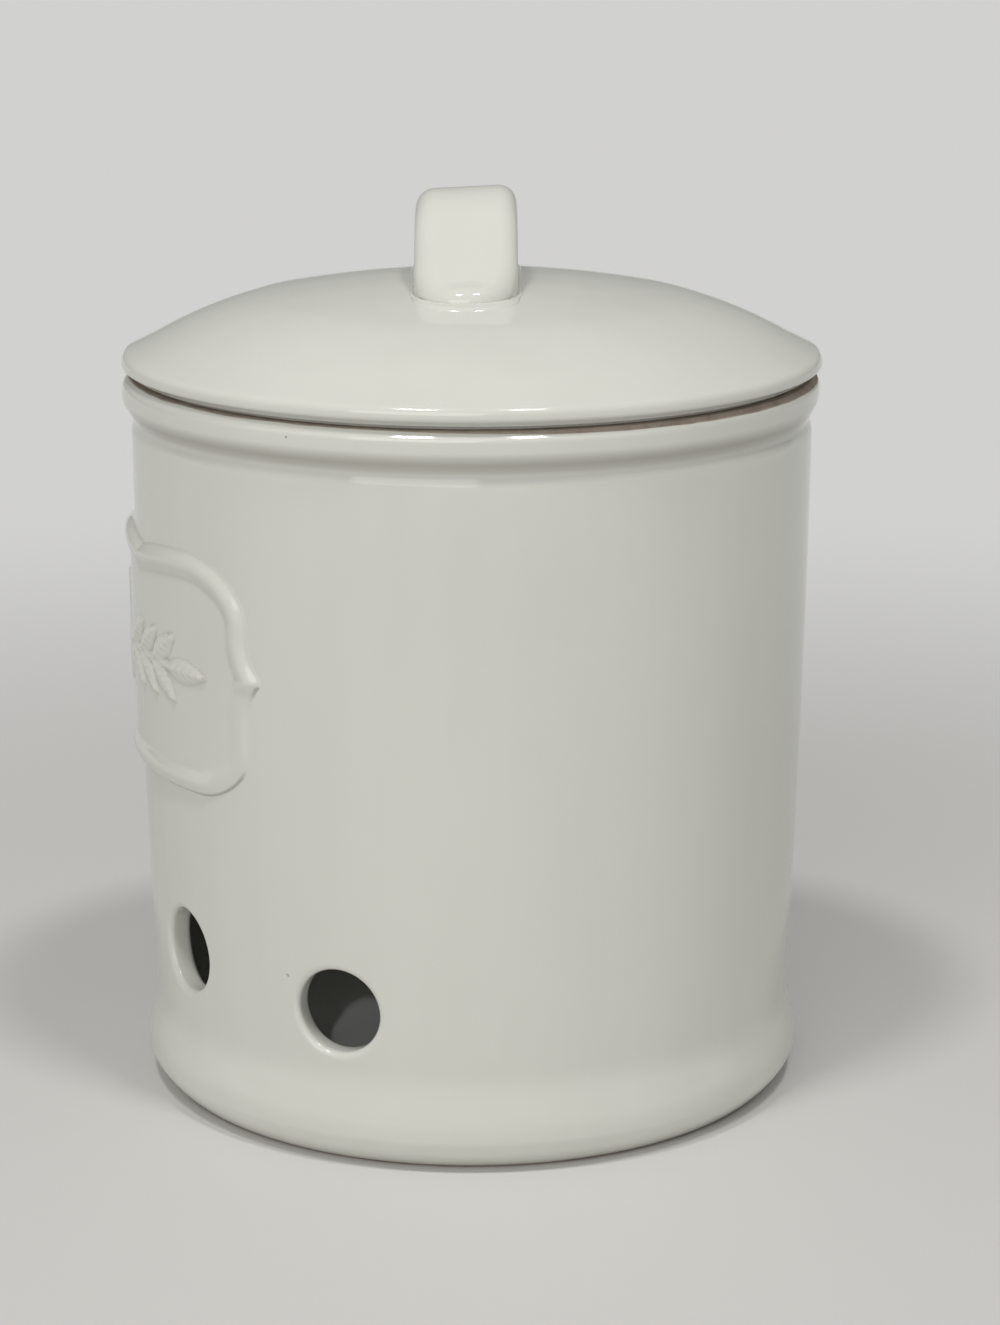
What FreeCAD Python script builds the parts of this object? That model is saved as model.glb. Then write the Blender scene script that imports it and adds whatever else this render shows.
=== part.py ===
import FreeCAD, Part
import math
import os
import re
import Sketcher

# Garlic keeper: a slip-cast, glazed jar with vent holes, a raised label plaque and a
# lift-off domed lid with a bow-shaped handle.
#
# Frame: millimetres, +Z up, origin at the centre of the foot. The plaque faces -Y and the
# long way of the handle lies along X. Heights of the jar are above the foot, and rises of
# the lid are above the jar's rim.

# Driving dimensions: alias, value, what it is.
SIZES = [
    # Jar, from the foot up
    ("wall_top_radius", 70.0, "wall below the bead, which the jar's other radii start from"),
    ("foot_setback", 0.65, "flared foot at its widest, inside the top of the wall"),
    ("foot_undercut", 4.95, "foot beyond the ring that the jar stands on"),
    ("foot_ring_width", 7.0, "bare ring that the jar stands on"),
    ("foot_recess_depth", 1.6, "hollow under the floor, inside the ring"),
    ("foot_low_height", 5.7, "lower edge of the foot's upright band"),
    ("foot_band", 4.2, "height of that band"),
    ("foot_round", 4.6, "rounding under the foot's band"),
    ("foot_top_round", 12.0, "rounding over the foot's band"),
    ("foot_flare", 2.0, "foot beyond the waist, the narrowest place above it"),
    ("waist_height", 17.4, "height of the waist"),
    ("waist_round", 15.0, "cove between foot and wall"),
    ("wall_curve_radius", 3400.0, "slight barrel curve of the wall"),
    ("rim_height", 148.6, "flat rim that the lid sits on"),
    ("bead_drop", 7.7, "where the wall meets the bead, below the rim"),
    ("bead_low_drop", 3.7, "lower edge of the bead's upright band, below the rim"),
    ("bead_top_drop", 1.3, "upper edge of the bead's upright band, below the rim"),
    ("bead_projection", 1.85, "rolled bead beyond the wall"),
    ("bead_cove_round", 4.5, "cove below the bead"),
    ("bead_round", 4.5, "rounding of the bead's lower edge"),
    ("bead_top_round", 2.2, "rounding of the bead's upper edge"),
    ("rim_setback", 1.15, "flat rim inside the bead's widest"),
    ("wall_thickness", 5.0, "wall, all the way up"),
    ("floor_height", 7.0, "inside of the floor"),
    ("floor_round", 7.0, "inside corner of the floor"),
    ("edge_round", 0.8, "softened rim and foot edges"),
    # Vent holes, low in the front wall
    ("vent_diameter", 17.3, "each round vent hole"),
    ("vent_centre_height", 36.3, "middle vent"),
    ("vent_inner_height", 35.2, "vents either side of the middle"),
    ("vent_outer_height", 31.7, "outermost vents"),
    ("vent_inner_angle", 30.5, "degrees round the wall from the front"),
    ("vent_outer_angle", 66.8, "degrees round the wall from the front"),
    ("vent_edge_round", 1.5, "glaze-softened outer edge of a vent"),
    # Label plaque, sizes as seen from the front
    ("emblem_height", 95.5, "middle line of plaque and emblem, which their heights start from"),
    ("plaque_half_width", 53.9, "centre to the upright side"),
    ("plaque_tip_reach", 1.8, "pointed side tip beyond the upright side"),
    ("plaque_tip_rise", 1.4, "side tips above the middle line"),
    ("plaque_tip_drop", 7.5, "upright side starts this far below the tip"),
    ("plaque_top_rise", 24.2, "top of the shoulders above the middle line"),
    ("plaque_bottom_drop", 24.5, "bottom edge near the corners, below the middle line"),
    ("plaque_corner_round", 13.0, "upper corners"),
    ("plaque_low_corner_round", 11.0, "lower corners"),
    ("plaque_arch_half_width", 22.5, "centre to the dip beside the top arch"),
    ("plaque_dip", 2.2, "dip beside the arch, below the shoulders"),
    ("plaque_arch_radius", 62.0, "arch in the middle of the top edge"),
    ("plaque_shoulder_radius", 60.0, "gently arched shoulders"),
    ("plaque_foot_radius", 1500.0, "gently sagging bottom edge"),
    ("plaque_ridge_width", 4.2, "raised frame round the panel"),
    ("plaque_flattening", 1.85, "panel's face is curved tighter than the wall by this much"),
    ("plaque_offset", 3.0, "centre of that curve, ahead of the jar's axis"),
    ("plaque_ridge_height", 0.85, "frame above the panel's face"),
    # Emblem on the plaque: a garlic bulb between two leafy sprigs
    ("emblem_relief", 0.8, "emblem above the panel's face"),
    ("bulb_base_drop", 11.5, "bulb's base below the middle line"),
    ("bulb_shoulder_rise", 6.5, "bulb's shoulder above the middle line"),
    ("bulb_neck_half_width", 3.0, "where the bulb's sides meet base and neck"),
    ("bulb_belly", 6.95, "round sides of the bulb, beyond base and neck"),
    ("bulb_tip_rise", 14.5, "cut end of the neck above the middle line"),
    ("bulb_tip_half_width", 1.8, "cut end of the neck"),
    ("sprig_clearance", 3.5, "tip of a sprig's end leaf to the plaque's frame"),
    ("sprig_width", 1.8, "stem of a sprig"),
    ("leaf_length", 11.0, "each leaf"),
    ("leaf_width", 4.6, "each leaf"),
    ("leaf_start", 15.0, "centre to the first pair of leaves"),
    ("leaf_pitch", 7.0, "one pair of leaves to the next"),
    ("leaf_angle", 38.0, "degrees between a leaf and its stem"),
    # Lid, rises above the rim
    ("crown_rise", 20.4, "top of the dome"),
    ("dome_radius", 240.0, "curve of the dome's middle"),
    ("lid_overhang", 0.15, "edge of the lid at its widest, beyond the jar's bead"),
    ("lid_edge_low_rise", 2.1, "lower side of the lid's edge"),
    ("lid_edge_band", 3.0, "height of the edge's upright band"),
    ("lid_edge_round", 2.1, "rolled edge of the lid"),
    ("skirt_setback", 6.2, "foot of the dome, inside the edge that it sweeps out to"),
    ("skirt_rise", 7.15, "height of that place"),
    ("skirt_round", 18.0, "sweep between dome and edge"),
    ("skirt_curve_radius", 56.0, "curve of the dome's outer part"),
    ("skirt_width", 21.8, "that part, inwards to where the dome flattens"),
    ("lip_setback", 1.7, "lower lip inside the lid's edge"),
    ("lip_rise", 0.7, "lip above the rim, which leaves the thin dark joint line"),
    ("seat_setback", 1.9, "flat seat inside the lip"),
    ("lid_thickness", 4.8, "wall of the dome"),
    ("hollow_rise", 4.4, "where the dome's hollow meets the collar"),
    ("hollow_round", 6.0, "rounding in that corner"),
    ("collar_clearance", 1.2, "collar to the jar's mouth"),
    ("collar_width", 3.8, "wall of the locating collar"),
    ("collar_depth", 6.5, "collar below the rim"),
    ("collar_round", 1.4, "softened lower edges of the collar"),
    # Bow-shaped handle on the lid
    ("handle_length", 60.6, "along X"),
    ("handle_width", 20.8, "across"),
    ("handle_rise", 18.1, "top of the handle above the crown"),
    ("handle_offset", 1.2, "set by hand, this far towards the plaque"),
    ("handle_end_flat", 0.2, "upright flat in the middle of each half-round end"),
    ("handle_slope", 40.5, "degrees that the top falls towards the ends"),
    ("handle_slope_start", 8.0, "where the slopes would start without the bow's rounding"),
    ("handle_bow_flat", 0.15, "flat left by that rounding at the very top"),
    ("handle_edge_round", 4.0, "edges along the top"),
]

# Radii and heights that follow from the sizes.
FOOT = "(wall_top_radius - foot_setback)"
WAIST = f"({FOOT} - foot_flare)"
WALL_TOP = "(rim_height - bead_drop)"
MOUTH = "(wall_top_radius - wall_thickness)"
BEAD = "(wall_top_radius + bead_projection)"
RIM = f"({BEAD} - rim_setback)"
FOOT_RING_OUTER = f"({FOOT} - foot_undercut)"
FOOT_RING_INNER = f"({FOOT_RING_OUTER} - foot_ring_width)"
FOOT_TOP = "(foot_low_height + foot_band)"
LID_EDGE = f"({BEAD} + lid_overhang)"
LIP = f"({LID_EDGE} - lip_setback)"
SKIRT = f"({LID_EDGE} - skirt_setback)"
DOME_HALF_WIDTH = f"({SKIRT} - skirt_width)"
COLLAR_OUTER = f"({MOUTH} - collar_clearance)"
COLLAR_INNER = f"({COLLAR_OUTER} - collar_width)"

# Leafy sprigs: pairs of leaves on each stem, besides the leaf at its end.
LEAF_PAIRS = 3

# Slack for finding an edge by its place, far under any real distance.
PLACE_SLACK = 0.001


def make_sheet(doc):
    """Puts the driving dimensions into a spreadsheet, one named cell a row."""
    sheet = doc.addObject("Spreadsheet::Sheet", "sizes")
    for row, (alias, value, meaning) in enumerate(SIZES, start=1):
        sheet.set(f"A{row}", meaning)
        sheet.set(f"B{row}", str(value))
        sheet.setAlias(f"B{row}", alias)
    doc.recompute()
    return sheet


ALIASES = {alias for alias, _, _ in SIZES}


def cell(formula):
    """Turns the bare size names of a formula into references to the sheet's cells."""
    return re.sub(r"[a-z_]+", lambda word: ("sizes." if word[0] in ALIASES else "") + word[0], formula)


def size(sheet, formula):
    """The value of a formula of size names, as a plain number."""
    return float(sheet.evalExpression(cell(formula)))


def bind(thing, **formulas):
    """Binds properties of an object to formulas of size names."""
    for name, formula in formulas.items():
        thing.setExpression(name, cell(formula))


def origin_plane(body, role):
    """One of a body's own origin planes."""
    return next(f for f in body.Origin.OriginFeatures if f.Role == role)


def end_at(sketch, edge, point):
    """Which end of a sketch edge, 1 or 2, lies at a point."""
    return min((1, 2), key=lambda end: sketch.getPoint(edge, end).distanceToPoint(point))


def bulged(start, end, radius):
    """An arc from start to end, bulging to the right of that way, or left if radius is negative."""
    way = end - start
    half = way.Length / 2
    sagitta = abs(radius) - math.sqrt(radius * radius - half * half)
    right = FreeCAD.Vector(way.y, -way.x, 0).normalize() * math.copysign(sagitta, radius)
    return Part.Arc(start, (start + end) / 2 + right, end)


def tie(sketch, first, second, point):
    """Joins two neighbouring edges of an outline at a point."""
    first_end = end_at(sketch, first, point)
    second_end = end_at(sketch, second, point)
    sketch.addConstraint(Sketcher.Constraint("Coincident", first, first_end, second, second_end))


def pin(sketch, edge, end, kind, value, formula):
    """Holds one coordinate of an edge's end at a formula of size names."""
    index = sketch.addConstraint(Sketcher.Constraint(kind, -1, 1, edge, end, value))
    if formula.strip("-0. "):
        sketch.setExpression(f"Constraints[{index}]", cell(formula))


def draw_outline(sketch, sheet, corners):
    """Draws a closed outline and binds it to the sheet.

    Each corner is (across, up) or (across, up, radius): formulas for its place and, where
    the edge that leaves it is an arc, that arc's radius, negative where it bulges left.
    """
    points = [FreeCAD.Vector(size(sheet, c[0]), size(sheet, c[1]), 0) for c in corners]
    count = len(corners)
    edges = []
    for i, corner in enumerate(corners):
        start = points[i]
        end = points[(i + 1) % count]
        if len(corner) == 3:
            edges.append(sketch.addGeometry(bulged(start, end, size(sheet, corner[2]))))
        else:
            edges.append(sketch.addGeometry(Part.LineSegment(start, end)))
    for i in range(count):
        tie(sketch, edges[i - 1], edges[i], points[i])
    for i, corner in enumerate(corners):
        end = end_at(sketch, edges[i], points[i])
        pin(sketch, edges[i], end, "DistanceX", points[i].x, corner[0])
        pin(sketch, edges[i], end, "DistanceY", points[i].y, corner[1])
        if len(corner) == 3:
            radius = abs(size(sheet, corner[2]))
            index = sketch.addConstraint(Sketcher.Constraint("Radius", edges[i], radius))
            sketch.setExpression(f"Constraints[{index}]", f"abs({cell(corner[2])})")


def body_sketch(body, sheet, name, corners):
    """An outline on the body's XZ plane, ready to be turned about Z."""
    sketch = body.newObject("Sketcher::SketchObject", name)
    sketch.AttachmentSupport = [(origin_plane(body, "XZ_Plane"), "")]
    sketch.MapMode = "FlatFace"
    draw_outline(sketch, sheet, corners)
    return sketch


def turned(body, kind, name, sketch):
    """Turns an outline about Z into a solid, or into a groove, all the way round."""
    feature = body.newObject(kind, name)
    feature.Profile = sketch
    feature.ReferenceAxis = (sketch, ["V_Axis"])
    feature.Angle = 360.0
    return feature


def ring_edges(shape, places):
    """Names of the full circles about Z at the given (radius, height) places."""
    names = []
    for radius, height in places:
        for number, edge in enumerate(shape.Edges, start=1):
            if edge.Degenerated or not isinstance(edge.Curve, Part.Circle):
                continue
            middle = edge.Curve.Center
            centred = math.hypot(middle.x, middle.y) < PLACE_SLACK
            if centred and abs(edge.Curve.Radius - radius) + abs(middle.z - height) < 2 * PLACE_SLACK:
                names.append(f"Edge{number}")
    return names


def rounded_rings(doc, sheet, body, rounds):
    """Rounds circular edges of a turned body, one fillet for each radius."""
    for radius_name, places in rounds:
        doc.recompute()
        base = body.Tip
        spots = [(size(sheet, across), size(sheet, up)) for across, up in places]
        fillet = body.newObject("PartDesign::Fillet", f"{body.Name}_{radius_name}")
        fillet.Base = (base, ring_edges(base.Shape, spots))
        bind(fillet, Radius=radius_name)


# Outline of the jar's outside, shared by the jar and by the tool that fits the plaque to it.
JAR_OUTSIDE = [
    ("0", "0"),
    (FOOT_RING_OUTER, "0"),
    (FOOT, "foot_low_height"),
    (FOOT, FOOT_TOP),
    (WAIST, "waist_height", "wall_curve_radius"),
    ("wall_top_radius", WALL_TOP),
    (BEAD, "rim_height - bead_low_drop"),
    (BEAD, "rim_height - bead_top_drop"),
    (RIM, "rim_height"),
    ("0", "rim_height"),
]

# Each vent: name, degrees from the front towards +X, height.
VENTS = [
    ("vent_middle", "0", "vent_centre_height"),
    ("vent_inner_right", "vent_inner_angle", "vent_inner_height"),
    ("vent_inner_left", "-vent_inner_angle", "vent_inner_height"),
    ("vent_outer_right", "vent_outer_angle", "vent_outer_height"),
    ("vent_outer_left", "-vent_outer_angle", "vent_outer_height"),
]


def make_jar(doc, sheet):
    """Jar: turned outside, turned hollow, recess under the floor and five vent holes."""
    body = doc.addObject("PartDesign::Body", "jar")
    body.Label = "jar_body"
    turned(body, "PartDesign::Revolution", "jar_turned", body_sketch(body, sheet, "jar_outside", JAR_OUTSIDE))
    hollow = [
        ("0", "floor_height"),
        (f"{WAIST} - wall_thickness", "floor_height"),
        (f"{WAIST} - wall_thickness", "waist_height", "wall_curve_radius - wall_thickness"),
        (MOUTH, WALL_TOP),
        (MOUTH, "rim_height"),
        ("0", "rim_height"),
    ]
    turned(body, "PartDesign::Groove", "jar_hollow", body_sketch(body, sheet, "hollow", hollow))
    recess = [
        ("0", "0"),
        (FOOT_RING_INNER, "0"),
        (f"{FOOT_RING_INNER} - foot_recess_depth", "foot_recess_depth"),
        ("0", "foot_recess_depth"),
    ]
    turned(body, "PartDesign::Groove", "jar_recess", body_sketch(body, sheet, "recess", recess))
    rounded_rings(doc, sheet, body, [
        ("floor_round", [(f"{WAIST} - wall_thickness", "floor_height")]),
        ("waist_round", [(WAIST, "waist_height")]),
        ("foot_top_round", [(FOOT, FOOT_TOP)]),
        ("foot_round", [(FOOT, "foot_low_height")]),
        ("bead_cove_round", [("wall_top_radius", WALL_TOP)]),
        ("bead_round", [(BEAD, "rim_height - bead_low_drop")]),
        ("bead_top_round", [(BEAD, "rim_height - bead_top_drop")]),
        ("edge_round", [(FOOT_RING_OUTER, "0"), (FOOT_RING_INNER, "0"), (MOUTH, "rim_height")]),
    ])
    for name, angle, height in VENTS:
        vent = body.newObject("PartDesign::SubtractiveCylinder", name)
        bind(
            vent,
            Radius="vent_diameter / 2",
            Height="2 * wall_top_radius",
            Placement=f"placement(vector(0; 0; {height}); rotation({angle}; 0; 90))",
        )
    doc.recompute()
    drilled = body.Tip
    rims = body.newObject("PartDesign::Fillet", "vent_rims")
    rims.Base = (drilled, outer_vent_edges(sheet, drilled.Shape))
    bind(rims, Radius="vent_edge_round")
    return body


def outer_vent_edges(sheet, shape):
    """Names of the edges where the vents leave the outside of the wall."""
    bore = size(sheet, "vent_diameter / 2")
    middle = size(sheet, f"{WAIST} - wall_thickness / 2")
    names = []
    for _, angle, height in VENTS:
        turn = math.radians(size(sheet, angle))
        way = FreeCAD.Vector(math.sin(turn), -math.cos(turn), 0)
        centre = FreeCAD.Vector(0, 0, size(sheet, height))
        for number, edge in enumerate(shape.Edges, start=1):
            points = [edge.valueAt(edge.FirstParameter + (edge.LastParameter - edge.FirstParameter) * k / 4)
                      for k in range(5)]
            arms = [p - centre for p in points]
            on_bore = all(abs((a - way * a.dot(way)).Length - bore) < PLACE_SLACK for a in arms)
            reach = [math.hypot(p.x, p.y) for p in points]
            if on_bore and min(reach) > middle and max(reach) - min(reach) < bore / 4:
                names.append(f"Edge{number}")
    return names


# How far the dome has fallen where its flatter middle ends.
DOME_DROP = f"(dome_radius - sqrt(dome_radius^2 - {DOME_HALF_WIDTH}^2))"


def make_lid(doc, sheet):
    """Lid: dome with a rolled edge, flat seat, locating collar and hollow underside."""
    body = doc.addObject("PartDesign::Body", "lid")
    body.Label = "lid"
    seat = "rim_height"
    edge_low = f"{seat} + lid_edge_low_rise"
    edge_top = f"{edge_low} + lid_edge_band"
    collar_end = f"{seat} - collar_depth"
    outline = [
        ("0", f"{seat} + crown_rise - lid_thickness", "-(dome_radius - lid_thickness)"),
        (DOME_HALF_WIDTH, f"{seat} + crown_rise - {DOME_DROP} - lid_thickness"),
        (COLLAR_INNER, f"{seat} + hollow_rise"),
        (COLLAR_INNER, collar_end),
        (COLLAR_OUTER, collar_end),
        (COLLAR_OUTER, seat),
        (f"{LIP} - seat_setback", seat),
        (LIP, f"{seat} + lip_rise"),
        (LID_EDGE, edge_low),
        (LID_EDGE, edge_top),
        (SKIRT, f"{seat} + skirt_rise", "skirt_curve_radius"),
        (DOME_HALF_WIDTH, f"{seat} + crown_rise - {DOME_DROP}", "dome_radius"),
        ("0", f"{seat} + crown_rise"),
    ]
    turned(body, "PartDesign::Revolution", "lid_turned", body_sketch(body, sheet, "lid_outline", outline))
    rounded_rings(doc, sheet, body, [
        ("hollow_round", [(COLLAR_INNER, f"{seat} + hollow_rise")]),
        ("skirt_round", [(SKIRT, f"{seat} + skirt_rise")]),
        ("lid_edge_round", [(LID_EDGE, edge_top), (LID_EDGE, edge_low)]),
        ("collar_round", [(COLLAR_OUTER, collar_end), (COLLAR_INNER, collar_end)]),
    ])
    return body


def make_tool(doc, sheet, name, outline):
    """A turned solid that only shapes other pieces."""
    body = doc.addObject("PartDesign::Body", name)
    sketch = body_sketch(body, sheet, f"{name}_outline", outline)
    turned(body, "PartDesign::Revolution", f"{name}_turned", sketch)
    return body


def front_block(doc, sheet, name, corners, place="placement(vector(0; 0; 0); rotation(0; 0; 90))"):
    """An outline as seen from the front, carried through the front half of the jar."""
    sketch = doc.addObject("Sketcher::SketchObject", f"{name}_outline")
    draw_outline(sketch, sheet, corners)
    bind(sketch, Placement=place)
    return sketch, carried(doc, name, sketch)


def carried(doc, name, outline):
    """Carries a flat outline forwards, well past the front of the jar."""
    block = doc.addObject("Part::Extrusion", name)
    block.Base = outline
    block.DirMode = "Normal"
    block.Solid = True
    bind(block, LengthFwd="2 * wall_top_radius")
    return block


def face_form(doc, sheet, name, proud):
    """The panel's face, or one proud of it: curved as the wall, but tighter and further forward."""
    face = make_tool(doc, sheet, name, [
        ("0", "waist_height"),
        (f"{WAIST} - plaque_flattening + {proud}", "waist_height", "wall_curve_radius"),
        (f"wall_top_radius - plaque_flattening + {proud}", WALL_TOP),
        ("0", WALL_TOP),
    ])
    bind(face, Placement="placement(vector(0; -plaque_offset; 0); rotation(0; 0; 0))")
    return face


def combined(doc, kind, name, first, second):
    """A boolean of two objects."""
    result = doc.addObject(kind, name)
    result.Base = first
    result.Tool = second
    return result


def fused(doc, name, pieces):
    """Several overlapping objects as one."""
    result = doc.addObject("Part::MultiFuse", name)
    result.Shapes = pieces
    return result


PLAQUE_TOP = "emblem_height + plaque_top_rise"
PLAQUE_BOTTOM = "emblem_height - plaque_bottom_drop"
PLAQUE_TIP = "emblem_height + plaque_tip_rise"

PLAQUE = [
    ("-(plaque_half_width - plaque_low_corner_round)", PLAQUE_BOTTOM, "plaque_foot_radius"),
    ("plaque_half_width - plaque_low_corner_round", PLAQUE_BOTTOM, "plaque_low_corner_round"),
    ("plaque_half_width", f"{PLAQUE_BOTTOM} + plaque_low_corner_round"),
    ("plaque_half_width", f"{PLAQUE_TIP} - plaque_tip_drop"),
    ("plaque_half_width + plaque_tip_reach", PLAQUE_TIP),
    ("plaque_half_width", f"{PLAQUE_TOP} - plaque_corner_round", "plaque_corner_round"),
    ("plaque_half_width - plaque_corner_round", PLAQUE_TOP, "plaque_shoulder_radius"),
    ("plaque_arch_half_width", f"{PLAQUE_TOP} - plaque_dip", "plaque_arch_radius"),
    ("-plaque_arch_half_width", f"{PLAQUE_TOP} - plaque_dip", "plaque_shoulder_radius"),
    ("-(plaque_half_width - plaque_corner_round)", PLAQUE_TOP, "plaque_corner_round"),
    ("-plaque_half_width", f"{PLAQUE_TOP} - plaque_corner_round"),
    ("-(plaque_half_width + plaque_tip_reach)", PLAQUE_TIP),
    ("-plaque_half_width", f"{PLAQUE_TIP} - plaque_tip_drop"),
    ("-plaque_half_width", f"{PLAQUE_BOTTOM} + plaque_low_corner_round", "plaque_low_corner_round"),
]


def make_plaque(doc, sheet, jar_form):
    """Label plaque: a thin curved panel with a raised frame, seated on the wall all over."""
    outline, block = front_block(doc, sheet, "plaque_block", PLAQUE)
    inner = doc.addObject("Part::Offset2D", "plaque_inner_outline")
    inner.Source = outline
    inner.Join = "Arc"
    bind(inner, Value="-plaque_ridge_width")
    inner_block = carried(doc, "plaque_inner_block", inner)
    frame_block = combined(doc, "Part::Cut", "frame_block", block, inner_block)
    frame_face = face_form(doc, sheet, "frame_face", "plaque_ridge_height")
    frame = combined(doc, "Part::Common", "frame", frame_block, frame_face)
    panel = combined(doc, "Part::Common", "panel", block, face_form(doc, sheet, "panel_face", "0"))
    plaque = combined(doc, "Part::Cut", "plaque", fused(doc, "panel_and_frame", [panel, frame]), jar_form)
    plaque.Label = "label_plaque"
    return plaque


# Radius of the bulb's side: an arc from base to neck that stands out by the belly.
BULB_SIDE = "(((bulb_base_drop + bulb_shoulder_rise) / 2)^2 + bulb_belly^2) / (2 * bulb_belly)"

BULB = [
    ("-bulb_neck_half_width", "emblem_height - bulb_base_drop"),
    ("bulb_neck_half_width", "emblem_height - bulb_base_drop", BULB_SIDE),
    ("bulb_neck_half_width", "emblem_height + bulb_shoulder_rise"),
    ("bulb_tip_half_width", "emblem_height + bulb_tip_rise"),
    ("-bulb_tip_half_width", "emblem_height + bulb_tip_rise"),
    ("-bulb_neck_half_width", "emblem_height + bulb_shoulder_rise", BULB_SIDE),
]

# Base of the leaf at a sprig's end. The stem runs a little way into that leaf.
END_LEAF = "(plaque_half_width - plaque_ridge_width - sprig_clearance - leaf_length)"

STEM = [
    (f"-({END_LEAF} + sprig_width)", "emblem_height - sprig_width / 2"),
    (f"{END_LEAF} + sprig_width", "emblem_height - sprig_width / 2"),
    (f"{END_LEAF} + sprig_width", "emblem_height + sprig_width / 2"),
    (f"-({END_LEAF} + sprig_width)", "emblem_height + sprig_width / 2"),
]

LEAF_SIDE = "(leaf_length^2 + leaf_width^2) / (4 * leaf_width)"
LEAF = [("0", "0", LEAF_SIDE), ("leaf_length", "0", LEAF_SIDE)]


def leaf_places():
    """Each leaf's base across the panel and the way it points, as formulas."""
    places = []
    for side, ahead in (("", "0"), ("-", "180")):
        places.append((f"{side}{END_LEAF}", ahead))
        for i in range(LEAF_PAIRS):
            base = f"{side}(leaf_start + {i} * leaf_pitch)"
            places.append((base, f"{ahead} - leaf_angle"))
            places.append((base, f"{ahead} + leaf_angle"))
    return places


def make_emblem(doc, sheet, jar_form):
    """Emblem: a garlic bulb between two leafy sprigs, in low relief on the panel."""
    blocks = [
        front_block(doc, sheet, "bulb_block", BULB)[1],
        front_block(doc, sheet, "stem_block", STEM)[1],
    ]
    for i, (across, angle) in enumerate(leaf_places()):
        place = f"placement(vector({across}; 0; emblem_height); rotation(0; {angle}; 90))"
        blocks.append(front_block(doc, sheet, f"leaf_block_{i}", LEAF, place)[1])
    relief = combined(
        doc, "Part::Common", "emblem_relief_form",
        fused(doc, "emblem_blocks", blocks), face_form(doc, sheet, "emblem_face", "emblem_relief"),
    )
    behind = fused(doc, "behind_emblem", [jar_form, face_form(doc, sheet, "emblem_back", "0")])
    emblem = combined(doc, "Part::Cut", "emblem", relief, behind)
    emblem.Label = "plaque_emblem"
    return emblem


def round_edges(doc, body, name, radius, chosen):
    """Rounds the edges of a body whose lowest and highest points chosen(edge box) accepts."""
    doc.recompute()
    base = body.Tip
    names = [f"Edge{n}" for n, edge in enumerate(base.Shape.Edges, start=1) if chosen(edge.BoundBox)]
    fillet = body.newObject("PartDesign::Fillet", name)
    fillet.Base = (base, names)
    bind(fillet, Radius=radius)


def make_handle(doc, sheet):
    """Handle: a solid bow, half round at its ends from above, its foot fitted to the dome."""
    bow = doc.addObject("PartDesign::Body", "handle_bow")
    box = bow.newObject("PartDesign::AdditiveBox", "handle_box")
    bind(
        box,
        Length="handle_length",
        Width="handle_width",
        Height="crown_rise + handle_rise",
        Placement="placement(vector(-handle_length / 2; -handle_width / 2 - handle_offset; rim_height);"
                  " rotation(0; 0; 0))",
    )
    round_edges(
        doc, bow, "handle_ends", "(handle_width - handle_end_flat) / 2",
        lambda box: box.ZLength > PLACE_SLACK,
    )
    for name, start, side, turn in (
        ("near_slope", "handle_slope_start", "-handle_width", 0),
        ("far_slope", "-handle_slope_start", "handle_width", 180),
    ):
        slope = bow.newObject("PartDesign::SubtractiveBox", name)
        bind(
            slope,
            Length="handle_length",
            Width="2 * handle_width",
            Height="handle_length",
            Placement=f"placement(vector({start}; {side} - handle_offset;"
                      f" rim_height + crown_rise + handle_rise); rotation({turn}; handle_slope; 0))",
        )
    top = size(sheet, "rim_height + crown_rise + handle_rise")
    round_edges(
        doc, bow, "handle_bow_rounding",
        "(handle_slope_start - handle_bow_flat) / tan(handle_slope / 2)",
        lambda box: box.ZMin > top - PLACE_SLACK and box.XLength < PLACE_SLACK,
    )
    low = size(sheet, "rim_height + skirt_rise")
    width = size(sheet, "handle_width")
    round_edges(
        doc, bow, "handle_edges", "handle_edge_round",
        lambda box: box.ZMin > low and box.YLength < width - PLACE_SLACK,
    )
    dome = make_tool(doc, sheet, "dome_form", [
        ("0", "rim_height"),
        (SKIRT, "rim_height"),
        (SKIRT, "rim_height + skirt_rise", "skirt_curve_radius"),
        (DOME_HALF_WIDTH, f"rim_height + crown_rise - {DOME_DROP}", "dome_radius"),
        ("0", "rim_height + crown_rise"),
    ])
    handle = combined(doc, "Part::Cut", "handle", bow, dome)
    handle.Label = "lid_handle"
    return handle


def check(doc, pieces):
    """Stops the build if any object failed or any piece isn't a sound solid."""
    for thing in doc.Objects:
        if "Invalid" in thing.State or "Error" in thing.State:
            raise RuntimeError(f"{thing.Label} failed: {thing.State}")
    for piece in pieces:
        shape = piece.Shape
        if shape.isNull() or not shape.isValid() or not shape.Solids:
            raise RuntimeError(f"{piece.Label} isn't a sound solid")


def main():
    """Builds the keeper and writes each piece to its own file."""
    doc = FreeCAD.newDocument("garlic_keeper")
    sheet = make_sheet(doc)
    jar_form = make_tool(doc, sheet, "jar_form", JAR_OUTSIDE)
    pieces = [
        make_jar(doc, sheet),
        make_plaque(doc, sheet, jar_form),
        make_emblem(doc, sheet, jar_form),
        make_lid(doc, sheet),
        make_handle(doc, sheet),
    ]
    doc.recompute()
    check(doc, pieces)
    os.makedirs("parts", exist_ok=True)
    for piece in pieces:
        piece.Shape.exportStep(f"parts/{piece.Label}.step")
        box = piece.Shape.BoundBox
        print(f"{piece.Label}: {len(piece.Shape.Solids)} solid(s), {piece.Shape.Volume / 1000:.1f} cm3,",
              f"x {box.XMin:.2f}..{box.XMax:.2f}, y {box.YMin:.2f}..{box.YMax:.2f},",
              f"z {box.ZMin:.2f}..{box.ZMax:.2f}")


main()
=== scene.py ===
import logging
import math
from dataclasses import dataclass
from enum import Enum

import bmesh
import bpy
import numpy as np
from mathutils import Matrix, Vector


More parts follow.
